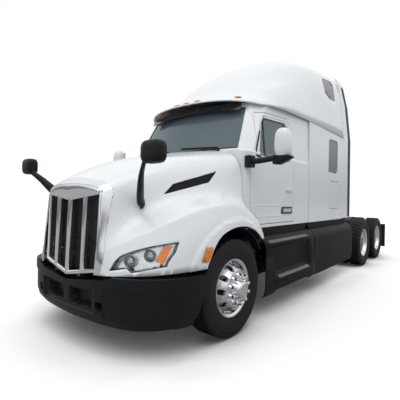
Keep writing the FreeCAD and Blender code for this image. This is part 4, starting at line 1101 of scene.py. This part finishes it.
# Raised roof with its windows and markers
MARKER_PLACES = (-0.7, -0.18, 0.0, 0.18, 0.7)
MARKER_HEIGHT = 2.735
MARKER_SUNK = 0.01
MARKER_HALVES = (0.042, 0.066, 0.024)
ROOF_NET = [
    [(-0.42, 0, 2.69), (-0.43, 0.25, 2.69), (-0.5, 0.55, 2.685), (-0.62, 0.78, 2.67),
     (-0.78, 0.93, 2.65), (-0.86, 0.985, 2.635)],
    [(-0.56, 0, 2.76), (-0.57, 0.27, 2.757), (-0.63, 0.56, 2.75), (-0.74, 0.81, 2.735),
     (-0.89, 0.985, 2.7), (-0.95, 1.025, 2.645)],
    [(-0.76, 0, 2.83), (-0.77, 0.29, 2.825), (-0.82, 0.58, 2.815), (-0.93, 0.82, 2.8),
     (-1.06, 1.0, 2.74), (-1.13, 1.048, 2.652)],
    [(-0.96, 0, 3.01), (-0.96, 0.3, 3.0), (-1.0, 0.56, 2.95), (-1.1, 0.82, 2.96), (-1.25, 0.99, 2.88),
     (-1.32, 1.058, 2.66)],
    [(-1.28, 0, 3.3), (-1.28, 0.32, 3.29), (-1.29, 0.6, 3.2), (-1.38, 0.82, 3.06), (-1.5, 0.985, 3.04),
     (-1.56, 1.066, 2.664)],
    [(-1.76, 0, 3.6), (-1.76, 0.34, 3.59), (-1.76, 0.66, 3.5), (-1.82, 0.85, 3.24), (-1.9, 0.985, 3.1),
     (-1.94, 1.07, 2.67)],
    [(-2.3, 0, 3.83), (-2.3, 0.35, 3.82), (-2.3, 0.7, 3.74), (-2.34, 0.89, 3.48), (-2.38, 0.995, 3.14),
     (-2.4, 1.075, 2.676)],
    [(-3.0, 0, 3.96), (-3.0, 0.36, 3.955), (-3.0, 0.75, 3.9), (-3.0, 0.945, 3.67), (-3.0, 1.015, 3.26),
     (-3.0, 1.08, 2.68)],
    [(-3.96, 0, 3.95), (-3.96, 0.38, 3.95), (-3.96, 0.78, 3.92), (-3.96, 0.97, 3.75),
     (-3.96, 1.03, 3.35), (-3.96, 1.085, 2.68)],
]
ROOF_ROWS = 96
ROOF_COLUMNS = 44
ROOF_WALL = 0.016
PANE = 0.006
UPPER_WINDOW = [(-3.1, 3.57), (-3.15, 3.64), (-3.56, 3.7), (-3.63, 3.64), (-3.565, 3.3), (-3.3, 3.28),
                (-3.11, 3.35)]
LOWER_WINDOW = [(-3.12, 1.95), (-3.13, 2.5), (-3.18, 2.545), (-3.58, 2.555), (-3.64, 2.5), (-3.64, 1.99),
                (-3.59, 1.94)]
LOWER_PANE_Y = 1.052
LOWER_PANE = 0.008


def add_roof():
    sheet, panes = cut_sheet(half_sheet(ROOF_NET, ROOF_ROWS, ROOF_COLUMNS), UPPER_WINDOW, least=0.7)
    roof = sheet_piece(sheet, "roof_skin", "chassis", "body_white", ROOF_WALL)
    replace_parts(roof, "roof_fairing")
    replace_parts(sheet_piece(panes, "upper_panes", "chassis", "dark_glass", PANE), "sleeper_glass")
    flat = Form().slab([at(x, LOWER_PANE_Y, z) for x, z in LOWER_WINDOW], (0, LOWER_PANE, 0), 0.001)
    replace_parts(flat.both().piece("lower_panes", "chassis", "dark_glass"), "sleeper_glass")
    skin = surface_of(roof.data)
    lamps = Form()
    for y in MARKER_PLACES:
        hit = in_front(skin, y, MARKER_HEIGHT)
        lamps.joined(rounded_head(hit - Vector((MARKER_SUNK, 0, 0)), MARKER_HALVES, 0.55, 12, 24))
    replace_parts(lamps.piece("roof_marker_lenses", "chassis", "lamp_amber", sharp=60), "roof_markers")


# Cab trim
WINDOW = [(-0.6, 1.96), (-0.8, 2.42), (-0.85, 2.48), (-1.44, 2.515), (-1.505, 2.45), (-1.545, 1.985)]
DIVIDER = [(-0.872, 1.955), (-0.862, 2.49)]
HANDLE = [(-1.3, 1.344), (-1.275, 1.262), (-1.3, 1.246), (-1.59, 1.243), (-1.622, 1.262), (-1.606, 1.344)]
PADDLE = [(-1.335, 1.318), (-1.325, 1.272), (-1.56, 1.27), (-1.575, 1.318)]
EXTENDER_LINE = [(-4.375, 1.12), (-4.345, 2.68), (-4.255, 3.35), (-4.165, 3.74)]
RECESS = [(-0.585, 1.362), (-1.25, 1.36), (-1.262, 1.222), (-0.61, 1.226)]
STRIP_SUNK = 0.004
SCREEN_EDGE = [(-0.895, 2.05), (-0.812, 2.6), (0.812, 2.6), (0.895, 2.05)]
SEAL_SECTION = ((0.004, -0.01, -0.01), (0.006, 0, 0), (0.004, 0.01, 0.01), (-0.006, 0, 0))
WIPERS = ((-0.2, -0.82), (0.62, 0.02))
WIPER_CAP = ((-0.02, 0.02), (0.0, 0.022), (0.016, 0.018), (0.02, 0.004))


def strip_on(tree, line, width, thick, closed):
    """A flat strip seated on the flank along an X and Z line."""
    sunk = Vector((0, -STRIP_SUNK, 0))
    proud = Vector((0, thick, 0))
    rings = []
    for i, here in enumerate(line):
        before = line[i - 1] if closed or i else here
        after = line[(i + 1) % len(line)] if closed or i < len(line) - 1 else here
        ahead = (after - before).normalized()
        side = Vector((-ahead.y, ahead.x)) * width / 2
        a = beside(tree, *(here - side))
        b = beside(tree, *(here + side))
        if a and b:
            rings.append([a + sunk, a + proud, b + proud, b + sunk])
    if closed:
        rings.append(rings[0])
    return Form().loft(rings, caps=not closed)


def add_to_doors(form, title, slot, bevel=0.0):
    """One copy of a form on each door."""
    for side, sign in SIDES:
        shape = form if sign > 0 else form.mirrored()
        shape.piece(title + "_" + side, "cab_door_" + side, slot, bevel=bevel)


def add_door_trim():
    skin = tree_of("door_left", "door_glass_left", "cab_shell")
    frame_line = eased(WINDOW, 0.05)
    seal = strip_on(skin, spread(frame_line + frame_line[:1], 0.05)[:-1], 0.03, 0.003, True)
    bar = strip_on(skin, spread(DIVIDER, 0.06), 0.034, 0.004, False)
    bezel = Form().slab([beside(skin, x, z, -0.003) for x, z in HANDLE], (0, 0.014, 0), 0.004)
    paddle = Form().slab([beside(skin, x, z, 0.01) for x, z in PADDLE], (0, 0.01, 0), 0.003)
    add_to_doors(seal, "window_seal", "edge_rubber")
    add_to_doors(bar, "window_bar", "edge_rubber")
    add_to_doors(bezel, "handle_bezel", "gloss_black")
    add_to_doors(paddle, "handle_paddle", "chrome_bright")


def add_side_trim():
    extenders = tree_of("side_extenders", "extender_edges")
    band = strip_on(extenders, spread(EXTENDER_LINE, 0.1), 0.11, 0.006, False)
    band.both().piece("extender_lips", "chassis", "edge_rubber")
    bead = strip_on(tree_of("door_left"), spread(eased(RECESS, 0.03), 0.06), 0.012, 0.004, True)
    add_to_doors(bead, "door_bead", "body_white", 0.0015)


def add_wiper(form, glass, base, tip):
    """A blade along the screen, its arm and the cap that the arm turns on."""
    blade = [in_front(glass, p.x, p.y, 0.014) for p in spread([(base, 2.075), (tip, 2.105)], 0.05)]
    form.tube([p for p in blade if p], 0.008, 8)
    arm = [in_front(glass, base + 0.02, 2.04, 0.01), in_front(glass, base * 0.6 + tip * 0.4, 2.07, 0.036),
           in_front(glass, (base + tip) / 2, 2.092, 0.022)]
    form.tube(arm, 0.009, 8)
    form.turned(WIPER_CAP, arm[0], (1, 0, 0.4), 16)


def add_screen_trim():
    glass = tree_of("windscreen", "cab_shell")
    hits = [in_front(glass, p.x, p.y) for p in spread(SCREEN_EDGE + SCREEN_EDGE[:1], 0.06)[:-1]]
    rings = [[hit + Vector(step) for step in SEAL_SECTION] for hit in hits if hit]
    Form().loft(rings + rings[:1], caps=False).piece("screen_seal", "chassis", "edge_rubber")
    wipers = Form()
    for base, tip in WIPERS:
        add_wiper(wipers, glass, base, tip)
    wipers.piece("wipers", "chassis", "edge_rubber")


# Seats and bunk
SEAT_Y = 0.43
# Each pad of a seat: its title, its places ahead and up, its size and its lean in degrees
SEAT_PADS = (("seat_pad_", -1.305, 1.485, (0.5, 0.49, 0.12), 0.0),
             ("seat_back_", -1.56, 1.93, (0.64, 0.47, 0.1), 80.0))
BUNK = ((-3.425, 0.0, 1.655), (0.94, 2.0, 0.15))
PAD_CROWN = 0.02
PAD_LEVELS = 12
PAD_AROUND = 40
PAD_SHOULDER = 0.75


def pad_form(centre, size, lean=0.0):
    """A crowned pad: rounded corners, sides that pull in between them, a flat underside."""
    half_x, half_y, thick = size[0] / 2, size[1] / 2, size[2]
    rings = []
    for level in range(PAD_LEVELS + 1):
        t = level / PAD_LEVELS
        swell = 0.94 + 0.06 * math.sin(math.pi * min(1.0, 0.12 + t * 0.88)) ** 0.35
        over = (t - PAD_SHOULDER) / (1 - PAD_SHOULDER)
        shrink = 1.0 if over < 0 else max(0.02, math.cos(over * math.pi / 2))
        rise = t * thick + (PAD_CROWN * (1 - shrink) if over >= 0 else 0.0)
        ring = []
        for k in range(PAD_AROUND):
            a = 2 * math.pi * k / PAD_AROUND
            x, y = (math.copysign(abs(c) ** 0.4, c) for c in (math.cos(a), math.sin(a)))
            waist = 1 - 0.035 * (1 - abs(x * y))
            reach = waist * swell * shrink
            ring.append(Vector((x * half_x * reach, y * half_y * reach, rise)))
        rings.append(ring)
    turn = Matrix.Rotation(lean, 3, "Y")
    return Form().loft([[turn @ p + Vector(centre) for p in ring] for ring in rings])


def add_seats():
    made = []
    for side, sign in SIDES:
        for title, x, z, size, lean in SEAT_PADS:
            made.append((pad_form(at(x, SEAT_Y * sign, z), size, math.radians(lean)), title + side))
    made.append((pad_form(at(*BUNK[0]), BUNK[1]), "bunk_pad"))
    for form, title in made:
        pad = form.piece(title, "chassis", "seat_fabric", sharp=70)
        smooth = pad.modifiers.new("smooth", "SUBSURF")
        smooth.levels = 1
        smooth.render_levels = 1
        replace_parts(pad, "cab_cushions")


# Step treads: each tier's rear and front end, then its inner and outer edge as (out, up)
TREAD_TIERS = ((-1.9, -0.72, (1.154, 0.936), (1.2, 0.913)), (-1.96, -0.98, (1.172, 0.481), (1.206, 0.455)))
RIDGE_PITCH = 0.018
RIDGE_SECTION = ((-0.005, -0.002), (0.005, -0.002), (0.003, 0.004), (-0.003, 0.004))


def add_step_treads():
    form = Form()
    for rear, front, inner, outer in TREAD_TIERS:
        count = int((front - rear) / RIDGE_PITCH)
        for k in range(count):
            x = rear + (k + 0.5) * (front - rear) / count
            form.loft([[at(x + dx, y, z + dz) for dx, dz in RIDGE_SECTION] for y, z in (inner, outer)])
    form.both().piece("step_treads", "chassis", "tread_grey")


dress_nodes()
set_camera()
set_world()
set_floor()
add_sun()
add_wheels()
add_grille_mesh()
add_hood()
add_bumper()
add_grille()
add_mirrors()
add_skirts()
add_roof()
add_door_trim()
add_side_trim()
add_screen_trim()
add_seats()
add_step_treads()
